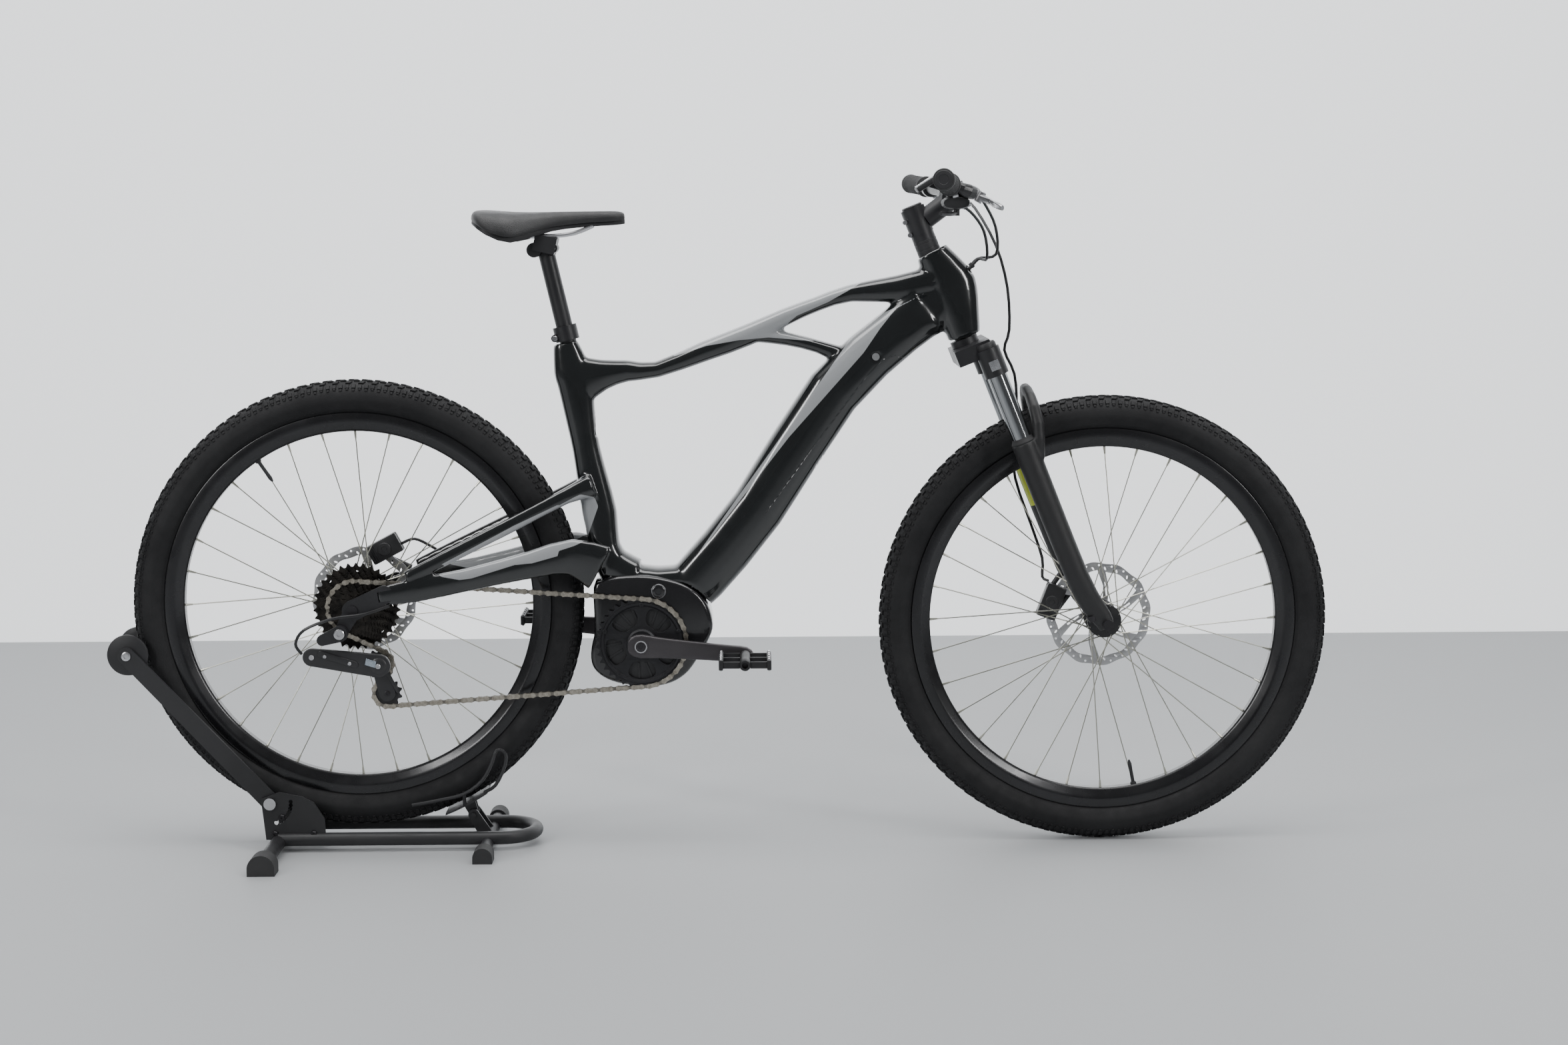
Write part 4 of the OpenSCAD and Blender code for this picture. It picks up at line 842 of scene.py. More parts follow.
def rounded_block(line, half, edge_mm, centre, steps=4):
    """A solid of a side-view outline with rounded long edges, between -half and +half (mm)."""
    mid_x = sum(p[0] for p in line) / len(line)
    mid_z = sum(p[1] for p in line) / len(line)
    verts, faces, count = [], [], len(line)
    rows = []
    for i in range(steps + 1):
        a = math.pi / 2 * i / steps
        rows.append((-half + edge_mm * (1 - math.sin(a)), edge_mm * (1 - math.cos(a))))
    full = rows[::-1] + [(-y, inset) for y, inset in rows]
    for y, inset in full:
        for x, z in line:
            reach = math.hypot(x - mid_x, z - mid_z)
            k = (reach - inset) / reach
            verts.append(centre + Vector((mid_x + (x - mid_x) * k, y,
                                          mid_z + (z - mid_z) * k)) / 1000)
    for i in range(len(full) - 1):
        for k in range(count):
            m = (k + 1) % count
            faces.append((i * count + k, i * count + m, (i + 1) * count + m,
                          (i + 1) * count + k))
    faces.append(tuple(range(count)))
    faces.append(tuple((len(full) - 1) * count + k for k in reversed(range(count))))
    return verts, faces


def smooth_line(points, steps=4):
    """A closed outline through the points, as a smooth curve."""
    line, n = [], len(points)
    for i in range(n):
        a, b, c, d = (Vector(points[(i + k) % n]) for k in (-1, 0, 1, 2))
        for k in range(steps):
            t = k / steps
            p = 0.5 * (2 * b + (c - a) * t + (2 * a - 5 * b + 4 * c - d) * t * t
                       + (3 * b - a - 3 * c + d) * t ** 3)
            line.append((p.x, p.y))
    return line


motor_mesh = rounded_block(smooth_line(housing_line, 3), MOTOR_HALF, 9, CRANK)
add_piece("motor_housing", *motor_mesh, gloss_housing, "frame", 40, "gloss_plastic",
          ["motor_unit"])
cover_line = smooth_line([polar(66 + 3 * math.sin(math.radians(3 * a)), a)
                          for a in range(0, 360, 20)], 3)
cover = flat_cut(cover_line, [circle_line(16, 32)], -45.5, -41.5, CRANK, 0.001)
boss = turned([(12.3, -47), (26, -46), (30, -44), (30, -41), (12.3, -41)], CRANK, 64)
left_boss = turned([(12.3, 41), (30, 41), (30, 60), (27, 62), (12.3, 62)], CRANK, 64)
ribs = [flat_cut([polar(34, a - 2), polar(60, a + 4), polar(60, a + 7), polar(34, a + 3)], [],
                 -46.6, -45.3, CRANK, 0.0003) for a in range(0, 360, 20)]
add_piece("motor_cover", *join_parts([cover, boss, left_boss, *ribs]), moulded_black, "frame",
          30, "black_plastic")
plug = [bolt_head(CRANK + Vector((28, -45.2 + 3, 84)) / 1000, (0, -1, 0), 0.0105, 0.0045, 24, 0.5)]
ring = turned([(9.5, -1), (11.6, -1.4), (12.4, 0.4), (10, 1)], CRANK + Vector(
    (28, -43, 84)) / 1000, 32)
add_piece("shell_plug", *join_parts(plug), gloss_housing, "frame", 35, "gloss_plastic")
add_piece("shell_plug_ring", *ring, steel, "frame", 35, "bright_steel")

# ---------------------------------------------------------------- cranks and chainring
# Forged alloy arms, dark anodised, on a splined spindle with a hexagon screw, and a toothed ring
# on five broad arms with oval windows.
anodised_grey = finish("anodised_grey", (0.045, 0.042, 0.045), (0.075, 0.070, 0.074),
                       (0.34, 0.48), metal=0.55, grain=0.00003, grain_scale=1600)
ring_black = finish("ring_black", (0.018, 0.018, 0.020), (0.034, 0.034, 0.037), (0.34, 0.48),
                    metal=0.5, grain=0.00003, grain_scale=1800)
CRANK_L = 170
dip = math.radians(5)
crank_dir = Vector((math.cos(dip), 0, -math.sin(dip)))


def arm_shape(direction, y_in, y_out):
    """One crank arm: a tapered bar, thick at the spindle, waisted, and round at the pedal."""
    side = Vector((-direction.z, 0, direction.x))
    sections = [(-21, 8, 0), (-18, 13.5, 0), (-10, 18, 0), (0, 19.6, 0), (14, 18.4, 0),
                (34, 16.6, 0.5), (70, 15.2, 1.5), (110, 14, 2), (146, 13.4, 1.2),
                (160, 13.6, 0.4), (172, 12.6, 0), (180, 8.5, 0), (184, 3.5, 0)]
    verts, faces = [], []
    outer, inner = y_out, y_in
    mid_y, half = (outer + inner) / 2, abs(outer - inner) / 2
    corners = 12
    for reach, width, thin in sections:
        h = half - thin
        for k in range(4 * corners):
            a = 2 * math.pi * (k + 0.5) / (4 * corners)
            u = math.copysign(abs(math.cos(a)) ** 0.42, math.cos(a)) * width
            v = math.copysign(abs(math.sin(a)) ** 0.42, math.sin(a)) * h
            verts.append(CRANK + (direction * reach + side * u + Vector((0, mid_y + v, 0)))
                         / 1000)
    ring_n = 4 * corners
    for i in range(len(sections) - 1):
        for k in range(ring_n):
            m = (k + 1) % ring_n
            faces.append((i * ring_n + k, i * ring_n + m, (i + 1) * ring_n + m,
                          (i + 1) * ring_n + k))
    faces.append(tuple(range(ring_n)))
    faces.append(tuple((len(sections) - 1) * ring_n + k for k in reversed(range(ring_n))))
    return verts, faces


add_piece("crank_arms", *join_parts([
    arm_shape(crank_dir, -75, -89), arm_shape(-crank_dir, 75, 89),
    turned([(0.5, -90), (12, -90), (12, 90), (0.5, 90)], CRANK, 48),
    rod(CRANK + CRANK_L / 1000 * crank_dir - Vector((0, 0.07, 0)),
        CRANK + CRANK_L / 1000 * crank_dir - Vector((0, 0.176, 0)), [0.005] * 2, 24),
    rod(CRANK - CRANK_L / 1000 * crank_dir + Vector((0, 0.07, 0)),
        CRANK - CRANK_L / 1000 * crank_dir + Vector((0, 0.176, 0)), [0.005] * 2, 24)]),
    anodised_grey, "crank", 32, "crank_grey", ["crankset"])
caps = []
for m in (-1, 1):
    caps.append(bolt_head(CRANK + Vector((0, m * 0.0893, 0)), (0, m, 0), 0.0072, 0.0016, 24, 0.5))
add_piece("crank_screws", *join_parts(caps), dark_metal, "crank", 30, "crank_grey")
washer = [turned([(8.2, m * 89.0), (10.2, m * 89.0), (10, m * 90.4), (8.4, m * 90.4)], CRANK, 48)
          for m in (-1, 1)]
add_piece("crank_washers", *join_parts(washer), steel, "crank", 30, "bright_steel")

TEETH = 36
windows = [smooth_line([polar(33, a - 22), polar(45, a - 27), polar(58, a - 21), polar(61, a),
                        polar(58, a + 21), polar(45, a + 27), polar(33, a + 22), polar(29, a)], 4)
           for a in range(54, 414, 72)]
ring_parts = [flat_cut(tooth_line(TEETH), [circle_line(12, 32), *windows], -51.0, -49.0, CRANK,
                       0.0003),
              turned([(60.5, -51), (63, -53), (66.5, -53), (67.5, -51)], CRANK, 96),
              turned([(12.1, -60), (21, -60), (24, -58), (25, -51), (12.1, -51)], CRANK, 64)]
ring_parts += [bolt_head(CRANK + wheel_point(a, 63.8, -53), (0, -1, 0), 0.0036, 0.0012, 12)
               for a in range(18, 378, 72)]
add_piece("chainring_plate", *join_parts(ring_parts), ring_black, "crank", 28, "crank_grey",
          ["chainring"])

# ---------------------------------------------------------------- chain
# Riveted links of oiled steel: broad outer plates and dark waisted inner plates by turns, half
# an inch apart, round the ring, the sprocket in use and both pulleys.
chain_plate = finish("chain_plate", (0.34, 0.31, 0.26), (0.55, 0.51, 0.44), (0.24, 0.4), metal=1,
                     grain=0.00002, grain_scale=900, patch=200)
chain_dark = finish("chain_dark", (0.20, 0.185, 0.16), (0.32, 0.30, 0.26), (0.3, 0.5), metal=1,
                    grain=0.00002, grain_scale=900, patch=200)
GUIDE = Vector(joint["upper_pulley_spin"]["pos_m"])
TENSION = Vector(joint["lower_pulley_spin"]["pos_m"])
ring_r, cog_r, pulley_r = (pitch_radius(t) / 1000 for t in (TEETH, 22, 11))


def tangent(c1, r1, c2, r2, side, crossed=False):
    d = c2 - c1
    reach = math.hypot(d.x, d.z)
    spread = math.acos((r1 + r2 if crossed else r1 - r2) / reach)
    return math.degrees(math.atan2(d.z, d.x) + side * spread)


def arc(c, r, a0, a1, steps):
    return [c + Vector((r * math.cos(math.radians(a0 + (a1 - a0) * i / steps)), 0,
                        r * math.sin(math.radians(a0 + (a1 - a0) * i / steps))))
            for i in range(steps + 1)]


ring_c, cog_c = (Vector((c.x, CHAIN_Y / 1000, c.z)) for c in (CRANK, REAR))
top_a = tangent(ring_c, ring_r, cog_c, cog_r, -1)
out_a = tangent(cog_c, cog_r, GUIDE, pulley_r, -1, True)
mid_a = tangent(GUIDE, pulley_r, TENSION, pulley_r, 1, True)
low_a = tangent(TENSION, pulley_r, ring_c, ring_r, -1)
chain_path = (arc(ring_c, ring_r, low_a, top_a, 60) + arc(cog_c, cog_r, top_a, out_a + 360, 60)
              + arc(GUIDE, pulley_r, out_a + 180, mid_a, 24)
              + arc(TENSION, pulley_r, mid_a + 180, low_a + 360, 30))
chain_length = sum((q - p).length for p, q in zip(chain_path, chain_path[1:] + chain_path[:1]))
LINKS = 2 * round(chain_length * 1000 / CHAIN_PITCH / 2)


def link_plate(half_pitch, r, waist, y0, y1):
    """A figure-of-eight plate lying along X, from y0 to y1 (mm)."""
    line = []
    for a in range(-120, 121, 24):
        line.append((half_pitch + r * math.cos(math.radians(a)), r * math.sin(math.radians(a))))
    line.append((0, waist))
    for a in range(60, 301, 24):
        line.append((-half_pitch + r * math.cos(math.radians(a)), r * math.sin(math.radians(a))))
    line.append((0, -waist))
    verts = [Vector((x, y, z)) / 1000 for y in (y0, y1) for x, z in line]
    n = len(line)
    faces = [tuple(range(n)), tuple(reversed(range(n, 2 * n)))]
    faces += [(k, n + k, n + (k + 1) % n, (k + 1) % n) for k in range(n)]
    return verts, faces


def pins(y, r):
    return [rod(Vector((m * CHAIN_PITCH / 2, -y, 0)) / 1000, Vector((m * CHAIN_PITCH / 2, y, 0))
                / 1000, [r / 1000] * 2, 8) for m in (-1, 1)]


def links_tree():
    """Sets a link at every second joint along a closed line, turned to follow it."""
    tree = bpy.data.node_groups.new("set_links", "GeometryNodeTree")
    face = tree.interface
    face.new_socket("Geometry", in_out="INPUT", socket_type="NodeSocketGeometry")
    face.new_socket("Path", in_out="INPUT", socket_type="NodeSocketObject")
    face.new_socket("Links", in_out="INPUT", socket_type="NodeSocketInt")
    face.new_socket("First", in_out="INPUT", socket_type="NodeSocketInt")
    face.new_socket("Material", in_out="INPUT", socket_type="NodeSocketMaterial")
    face.new_socket("Geometry", in_out="OUTPUT", socket_type="NodeSocketGeometry")
    get = tree.nodes.new("NodeGroupInput")
    put = tree.nodes.new("NodeGroupOutput")
    info = tree.nodes.new("GeometryNodeObjectInfo")
    even = tree.nodes.new("GeometryNodeResampleCurve")
    points = tree.nodes.new("GeometryNodeCurveToPoints")
    points.mode = "EVALUATED"
    index = tree.nodes.new("GeometryNodeInputIndex")
    shift = tree.nodes.new("ShaderNodeMath")
    shift.operation = "ADD"
    half = tree.nodes.new("ShaderNodeMath")
    half.operation = "MODULO"
    half.inputs[1].default_value = 2
    along = tree.nodes.new("FunctionNodeAlignRotationToVector")
    along.axis = "X"
    along.pivot_axis = "Y"
    copies = tree.nodes.new("GeometryNodeInstanceOnPoints")
    real = tree.nodes.new("GeometryNodeRealizeInstances")
    coat = tree.nodes.new("GeometryNodeSetMaterial")
    link = tree.links.new
    link(get.outputs["Path"], info.inputs["Object"])
    link(info.outputs["Geometry"], even.inputs["Curve"])
    link(get.outputs["Links"], even.inputs["Count"])
    link(even.outputs["Curve"], points.inputs["Curve"])
    link(index.outputs["Index"], shift.inputs[0])
    link(get.outputs["First"], shift.inputs[1])
    link(shift.outputs[0], half.inputs[0])
    link(points.outputs["Tangent"], along.inputs["Vector"])
    link(points.outputs["Points"], copies.inputs["Points"])
    link(half.outputs[0], copies.inputs["Selection"])
    link(along.outputs["Rotation"], copies.inputs["Rotation"])
    link(get.outputs["Geometry"], copies.inputs["Instance"])
    link(copies.outputs["Instances"], real.inputs["Geometry"])
    link(real.outputs["Geometry"], coat.inputs["Geometry"])
    link(get.outputs["Material"], coat.inputs["Material"])
    link(coat.outputs["Geometry"], put.inputs["Geometry"])
    return tree


path_curve = bpy.data.curves.new("chain_path", "CURVE")
path_curve.dimensions = "3D"
path_spline = path_curve.splines.new("POLY")
path_spline.points.add(len(chain_path) - 1)
for point, place in zip(path_spline.points, chain_path):
    point.co = (*place, 1)
path_spline.use_cyclic_u = True
path_object = bpy.data.objects.new("chain_path", path_curve)
bpy.context.scene.collection.objects.link(path_object)
SET_LINKS = links_tree()
outer_link = join_parts([link_plate(6.35, 4.3, 3.3, y, y + m * 0.95) for y, m in
                         ((-2.45, -1), (2.45, 1))] + pins(3.6, 2.1))
inner_link = join_parts([link_plate(6.35, 4.1, 2.5, y, y + m * 0.8) for y, m in
                         ((-1.45, -1), (1.45, 1))] + pins(1.6, 3.6))
for first, name, link_shape, metal in ((0, "outer", outer_link, chain_plate),
                                       (1, "inner", inner_link, chain_dark)):
    links = run_tree(SET_LINKS, *link_shape, {"Path": path_object, "Links": LINKS,
                                             "First": first, "Material": metal})
    keep_mesh(f"chain_{name}_links", links, metal, "frame", 35,
              ["chain"] if first == 0 else (), recalc=False)
bpy.data.objects.remove(path_object)

# ---------------------------------------------------------------- derailleur
# A moulded and forged changer bolted under the hanger: a body with linked arms, a spring drum,
# and a cage of two cut plates that holds a guide wheel and a tension wheel in the chain.


def from_rear(x, z, y=0.0):
    return REAR + Vector((x, y, z)) / 1000


composite = finish("composite", (0.012, 0.012, 0.013), (0.022, 0.022, 0.024), (0.28, 0.44),
                   coat=0.2, coat_rough=0.2, grain=0.00004, grain_scale=1500)
paint("derailleur_arm", composite)
b_knuckle = from_rear(-20, -36, 0)


def plate_between(p, q, wp, wq, y0, y1, edge=0.0008):
    """A flat link with round ends between two points of the side view, from y0 to y1 (mm)."""
    d = Vector((q.x - p.x, q.z - p.z))
    turn = math.degrees(math.atan2(d.y, d.x))
    line = [(d.length * 1000 + wq / 2 * math.cos(math.radians(a)),
             wq / 2 * math.sin(math.radians(a))) for a in range(-84, 85, 12)]
    line += [(wp / 2 * math.cos(math.radians(a)), wp / 2 * math.sin(math.radians(a)))
             for a in range(96, 265, 12)]
    c, s = math.cos(math.radians(turn)), math.sin(math.radians(turn))
    line = [(c * x - s * z, s * x + c * z) for x, z in line]
    return flat_cut(line, [], y0, y1, Vector((p.x, 0, p.z)), edge)


drum = Vector(joint["cage_tension"]["pos_m"])
arm_back = from_rear(-68, -76)
changer = [plate_between(arm_back, drum, 26, 35, -81.5, -73, 0.0018),
           plate_between(arm_back, drum, 20, 22, -73, -66, 0.0015),
           plate_between(from_rear(-52, -70), from_rear(2, -88), 9, 9, -84, -81, 0.001),
           turned([(0.5, -83), (8, -83.6), (13, -82), (16.4, -79), (17, -74), (17, -62),
                   (15, -58), (0.5, -58)], Vector((drum.x, 0, drum.z)), 48)]
add_piece("changer_body", *join_parts(changer), composite, "derailleur", 32, "black_plastic",
          ["derailleur_arm"])
changer_screws = [bolt_head(Vector((p.x, y / 1000, p.z)), (0, -1, 0), r, 0.0022, 16, 0.5)
                  for p, y, r in ((arm_back, -81.5, 0.0042), (from_rear(-46, -74), -84, 0.003),
                                  (from_rear(-6, -86), -84, 0.003), (drum, -83.4, 0.0042))]
add_piece("changer_screws", *join_parts(changer_screws), steel, "derailleur", 30,
          "bright_steel")
badge = flat_cut([(-9, -3), (7, -8), (9, 2), (-7, 7)], [], -84.6, -83.9, Vector(
    (drum.x - 0.012, 0, drum.z + 0.006)), 0.0002)
badge_grey = finish("badge_grey", (0.30, 0.36, 0.42), (0.42, 0.48, 0.54), (0.22, 0.3), metal=0.6,
                    coat=0.5, patch=60)
add_piece("changer_badge", *badge, badge_grey, "derailleur", 30, "silver_alloy")
hanger_bolt = join_parts([
    bolt_head(Vector((b_knuckle.x, -0.0932, b_knuckle.z)), (0, -1, 0), 0.0086, 0.004, 24, 0.42)])
add_piece("hanger_bolt", *hanger_bolt, steel, "frame", 30, "bright_steel")

cage_plates = []
for y in (-56.8, -45):
    cage_plates.append(plate_between(GUIDE, TENSION, 23, 26, y, y + 2, 0.0004))
cage_plates.append(plate_between(GUIDE + Vector((0.012, 0, -0.006)),
                                 TENSION + Vector((0.017, 0, 0.004)), 5, 5, -57.6, -56.8, 0.0002))
cage_plates += [rod(Vector((c.x, -0.0568, c.z)), Vector((c.x, -0.043, c.z)), [0.003] * 2, 16)
                for c in (GUIDE, TENSION)]
add_piece("cage_plates", *join_parts(cage_plates), composite, "cage", 30, "black_plastic",
          ["derailleur_cage"])
cage_screws = [bolt_head(Vector((c.x, -0.0568, c.z)), (0, -1, 0), 0.0045, 0.0016, 16, 0.5)
               for c in (GUIDE, TENSION)]
add_piece("cage_screws", *join_parts(cage_screws), dark_metal, "cage", 30, "bright_steel")
for centre, body in ((GUIDE, "upper_pulley"), (TENSION, "lower_pulley")):
    flat = Vector((centre.x, 0, centre.z))
    holes = [circle_line(2.2, 12, polar(12, a)) for a in range(0, 360, 60)]
    wheel_parts = [flat_cut(tooth_line(11, 1.5, 3.4), [circle_line(3.06, 20), *holes], -51.1,
                            -48.9, flat, 0.0003),
                   turned([(3.06, -52.6), (6, -52.6), (6.4, -51), (6.4, -49), (6, -47.4),
                           (3.06, -47.4)], flat, 32)]
    add_piece(body + "_wheel", *join_parts(wheel_parts), moulded_black, body, 30,
              "black_plastic", [body])

# ---------------------------------------------------------------- pedals
# Flat pedals: a cast cage of crossing rails round a fat axle barrel, with square-topped traction
# pins screwed in along both edges.
pedal_metal = finish("pedal_metal", (0.016, 0.016, 0.017), (0.028, 0.028, 0.030), (0.38, 0.54),
                     metal=0.3, grain=0.00008, grain_scale=1100)


def bar_box(low, high, edge=1.4):
    """A bar with chamfered edges between two corners (mm, about the pedal's centre)."""
    verts, faces = [], []
    mid = [(a + b) / 2 for a, b in zip(low, high)]
    half = [(b - a) / 2 for a, b in zip(low, high)]
    work = bmesh.new()
    bmesh.ops.create_cube(work, size=2)
    for v in work.verts:
        v.co = Vector([m + h * c for m, h, c in zip(mid, half, v.co)])
    bmesh.ops.bevel(work, geom=list(work.edges), offset=min(edge, min(half) * 0.8), segments=2,
                    affect="EDGES", profile=0.6)
    work.verts.index_update()
    verts = [v.co / 1000 for v in work.verts]
    faces = [tuple(v.index for v in f.verts) for f in work.faces]
    work.free()
    return verts, faces


def placed(part, centre):
    return [centre + v for v in part[0]], part[1]


for side, name in ((1, "right"), (-1, "left")):
    middle = CRANK + side * CRANK_L / 1000 * crank_dir
    y_near, y_far = -side * 91, -side * 185
    span = sorted((y_near, y_far))
    parts = [bar_box((-42, span[0] + 2, -8), (-35, span[1] - 5, 8)),
             bar_box((35, span[0] + 2, -8), (42, span[1] - 5, 8))]
    for y in (span[0] + 4, (span[0] + span[1]) / 2 - 3, span[1] - 10):
        for x0, x1 in ((-40, -8), (8, 40)):
            parts.append(bar_box((x0, y, -5.5), (x1, y + 5, 5.5)))
    parts.append(turned([(5.06, span[0]), (8, span[0]), (9, span[0] + 2), (8.6, span[0] + 30),
                         (8.6, span[1] - 30), (9, span[1] - 2), (8, span[1]),
                         (5.06, span[1])], Vector(), 32))
    pins_here = []
    for x in (-38.5, 38.5):
        for k in range(5):
            y = span[0] + 10 + k * (span[1] - span[0] - 22) / 4
            for up_down in (-1, 1):
                base = Vector((x, y, up_down * 7)) / 1000
                pins_here.append(rod(base, base + Vector((0, 0, up_down * 0.0032)),
                                     [0.002, 0.002, 0.0016], 8))
    add_piece(f"pedal_cage_{name}", *placed(join_parts(parts), middle), pedal_metal,
              f"pedal_{name}", 32, "black_plastic", [f"pedal_{name}"])
    add_piece(f"pedal_pins_{name}", *placed(join_parts(pins_here), middle), steel,
              f"pedal_{name}", 30, "bright_steel")

# ---------------------------------------------------------------- seat
# A slim saddle: a nylon shell under foam, with a cover of fine-grained synthetic leather drawn
# tight over it and down round the edge, on two steel rails held in the post's clamp.
saddle_cover = finish("saddle_cover", (0.010, 0.010, 0.011), (0.020, 0.020, 0.021), (0.36, 0.5),
                      grain=0.00018, grain_scale=900, patch=14, sheen=0.1)
saddle_low, saddle_high = (Vector(c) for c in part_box("saddle"))
SADDLE_L = (saddle_high.x - saddle_low.x) * 1000
saddle_tail = Vector((saddle_low.x, 0, saddle_high.z))
# Along the saddle from its tail: reach, half width, height of the middle, height of the edge.
saddle_ribs = [(0, 26, -9, -12), (4, 44, -3, -14), (12, 58, -1.5, -20), (26, 67, -1.5, -29),
               (46, 71.5, -3, -38), (66, 68, -4.5, -42), (86, 56, -5, -38), (106, 42, -5, -31),
               (126, 31, -4.5, -25), (150, 25, -4, -21), (180, 22, -3.6, -18),
               (210, 20.5, -3.4, -16), (230, 19, -3.8, -15), (241, 15, -5, -14),
               (247.5, 8, -8, -13)]


def saddle_skin(inset, drop):
    verts, faces, steps = [], [], 26
    for reach, half, top, low in saddle_ribs:
        half -= inset
        for k in range(steps + 1):
            u = -1 + 2 * k / steps
            roll_off = abs(u) ** 3.2
            y = half * math.sin(u * math.pi / 2) if abs(u) < 1 else half * u
            y = half * (0.35 * u + 0.65 * math.sin(u * math.pi / 2))
            groove = 2.2 * math.exp(-(y / 7) ** 2) if 40 < reach < 215 else 0
            z = top - drop - (top - low) * roll_off - groove
            verts.append(saddle_tail + Vector((reach * SADDLE_L / 250, y, z)) / 1000)
    n = steps + 1
    for i in range(len(saddle_ribs) - 1):
        for k in range(steps):
            faces.append((i * n + k, (i + 1) * n + k, (i + 1) * n + k + 1, i * n + k + 1))
    return verts, faces


top_verts, top_faces = saddle_skin(0, 0)
low_verts, low_faces = saddle_skin(2.2, 7)
first = len(top_verts)
rows, cols = len(saddle_ribs), 27
pad_faces = list(top_faces) + [tuple(first + i for i in reversed(f)) for f in low_faces]
rim_loop = ([i * cols for i in range(rows)] + [(rows - 1) * cols + k for k in range(1, cols)]
            + [i * cols + cols - 1 for i in range(rows - 2, -1, -1)]
            + [k for k in range(cols - 2, 0, -1)])
for a, b in zip(rim_loop, rim_loop[1:] + rim_loop[:1]):
    pad_faces.append((a, b, first + b, first + a))
pad = add_piece("saddle_pad", top_verts + low_verts, pad_faces, saddle_cover, "seat", 180,
                "saddle_cover", ["saddle"])
smooth_pad = pad.modifiers.new("smooth", "SUBSURF")
smooth_pad.levels = smooth_pad.render_levels = 2
base_verts, base_faces = saddle_skin(6, 9.5)
base_low, _ = saddle_skin(8, 12)
base_all = base_faces + [tuple(len(base_verts) + i for i in reversed(f)) for f in base_faces]
for a, b in zip(rim_loop, rim_loop[1:] + rim_loop[:1]):
    base_all.append((a, b, len(base_verts) + b, len(base_verts) + a))
add_piece("saddle_base", base_verts + base_low, base_all, moulded_black, "seat", 50,
          "black_plastic")
paint("seat_rails", steel)
paint("seatpost", satin_black)
clamp_screws = [bolt_head(on_seat(10, 659, m * 22), (0, m, 0), 0.005, 0.003, 16)
                for m in (-1, 1)]
add_piece("post_clamp_screws", *join_parts(clamp_screws), steel, "seat", 30, "bright_steel")
collar_screw = bolt_head(on_seat(-22, 516, -15), (0, -1, 0), 0.0045, 0.003, 16)
add_piece("collar_screw", *collar_screw, steel, "frame", 30, "bright_steel")

# ---------------------------------------------------------------- fork
# Hard chromed stanchions slide in cast magnesium lowers, painted matt black. The arch joins the
# lowers in front of the tyre, and a dust wiper closes the top of each leg.
magnesium = finish("magnesium", (0.011, 0.011, 0.012), (0.020, 0.020, 0.021), (0.40, 0.54),
                   grain=0.00006, grain_scale=1700)
chrome = finish("chrome", (0.30, 0.31, 0.32), (0.40, 0.41, 0.42), (0.08, 0.14), metal=1,
                grain=0.000004, grain_scale=600)
paint("stanchions", chrome)
paint("fork_crown", satin_black)
wipers = []
for m in (-1, 1):
    wipers.append(rod(on_head(25, 330, m * 66), on_head(25, 339, m * 66),
                      [0.0196, 0.0200, 0.0192, 0.0180, 0.0172, 0.0165], 48))
add_piece("dust_wipers", *join_parts(wipers), rubber, "fork", 32, "rubber_black")


lower_parts = []
across_y = Vector((0, 1, 0))
for m in (-1, 1):
    legs = []
    for u, f, fore, wide, y in ((-6, 40, 12, 8.5, 64.5), (4, 41, 15.5, 9, 64.5),
                                (18, 38, 18, 9.5, 64.8), (36, 33, 19.2, 12, 65.2),
                                (60, 29, 19.4, 16, 65.8), (95, 26.4, 19.4, 18.4, 66),
                                (150, 25.4, 19.6, 19, 66), (230, 25, 20, 19.6, 66),
                                (300, 25, 20.2, 20, 66), (322, 25, 20.6, 20.6, 66),
                                (330, 25, 20.4, 20.4, 66), (331, 25, 18.5, 18.5, 66)):
        legs.append((on_head(f, u, m * y), steer_fwd * fore / 1000, across_y * wide / 1000))
    lower_parts.append(oval_sweep(legs, 40))
arch_line = []
for y, f, u, deep, tall in ((-68, 40, 296, 8, 9), (-68, 50, 326, 10, 12), (-65, 58, 350, 10, 13),
                            (-56, 62, 374, 9.5, 13), (-40, 64, 390, 9, 12.5),
                            (-20, 65, 399, 8.5, 12), (0, 65, 401, 8, 11.5),
                            (20, 65, 399, 8.5, 12), (40, 64, 390, 9, 12.5),
                            (56, 62, 374, 9.5, 13), (65, 58, 350, 10, 13),
                            (68, 50, 326, 10, 12), (68, 40, 296, 8, 9)):
    arch_line.append((on_head(f, u, y), deep, tall))
arch = []
for i, (centre, deep, tall) in enumerate(arch_line):
    ahead = arch_line[min(i + 1, len(arch_line) - 1)][0]
    back = arch_line[max(i - 1, 0)][0]
    run = (ahead - back).normalized()
    a = (steer_fwd - steer_fwd.dot(run) * run).normalized()
    arch.append((centre, a * deep / 1000, run.cross(a) * tall / 1000))
lower_parts.append(oval_sweep(arch, 24, 0.8))
verts, faces = join_parts(lower_parts)
cast = bpy.data.meshes.new("cast")
cast.from_pydata([tuple(v) for v in verts], [], faces)
work = bmesh.new()
work.from_mesh(cast)
bmesh.ops.recalc_face_normals(work, faces=work.faces)
work.to_mesh(cast)
work.free()
cast_object = bpy.data.objects.new("cast", cast)
bpy.context.scene.collection.objects.link(cast_object)
voxels = cast_object.modifiers.new("voxels", "REMESH")
voxels.mode = "VOXEL"
voxels.voxel_size = 0.0022
blend_in = cast_object.modifiers.new("blend", "SMOOTH")
blend_in.factor = 0.5
blend_in.iterations = 6
cast_mesh = bpy.data.meshes.new_from_object(
    cast_object.evaluated_get(bpy.context.evaluated_depsgraph_get()))
bpy.data.objects.remove(cast_object)
keep_mesh("fork_castings", cast_mesh, magnesium, "fork", 60,
          ["fork_lowers"], recalc=False)
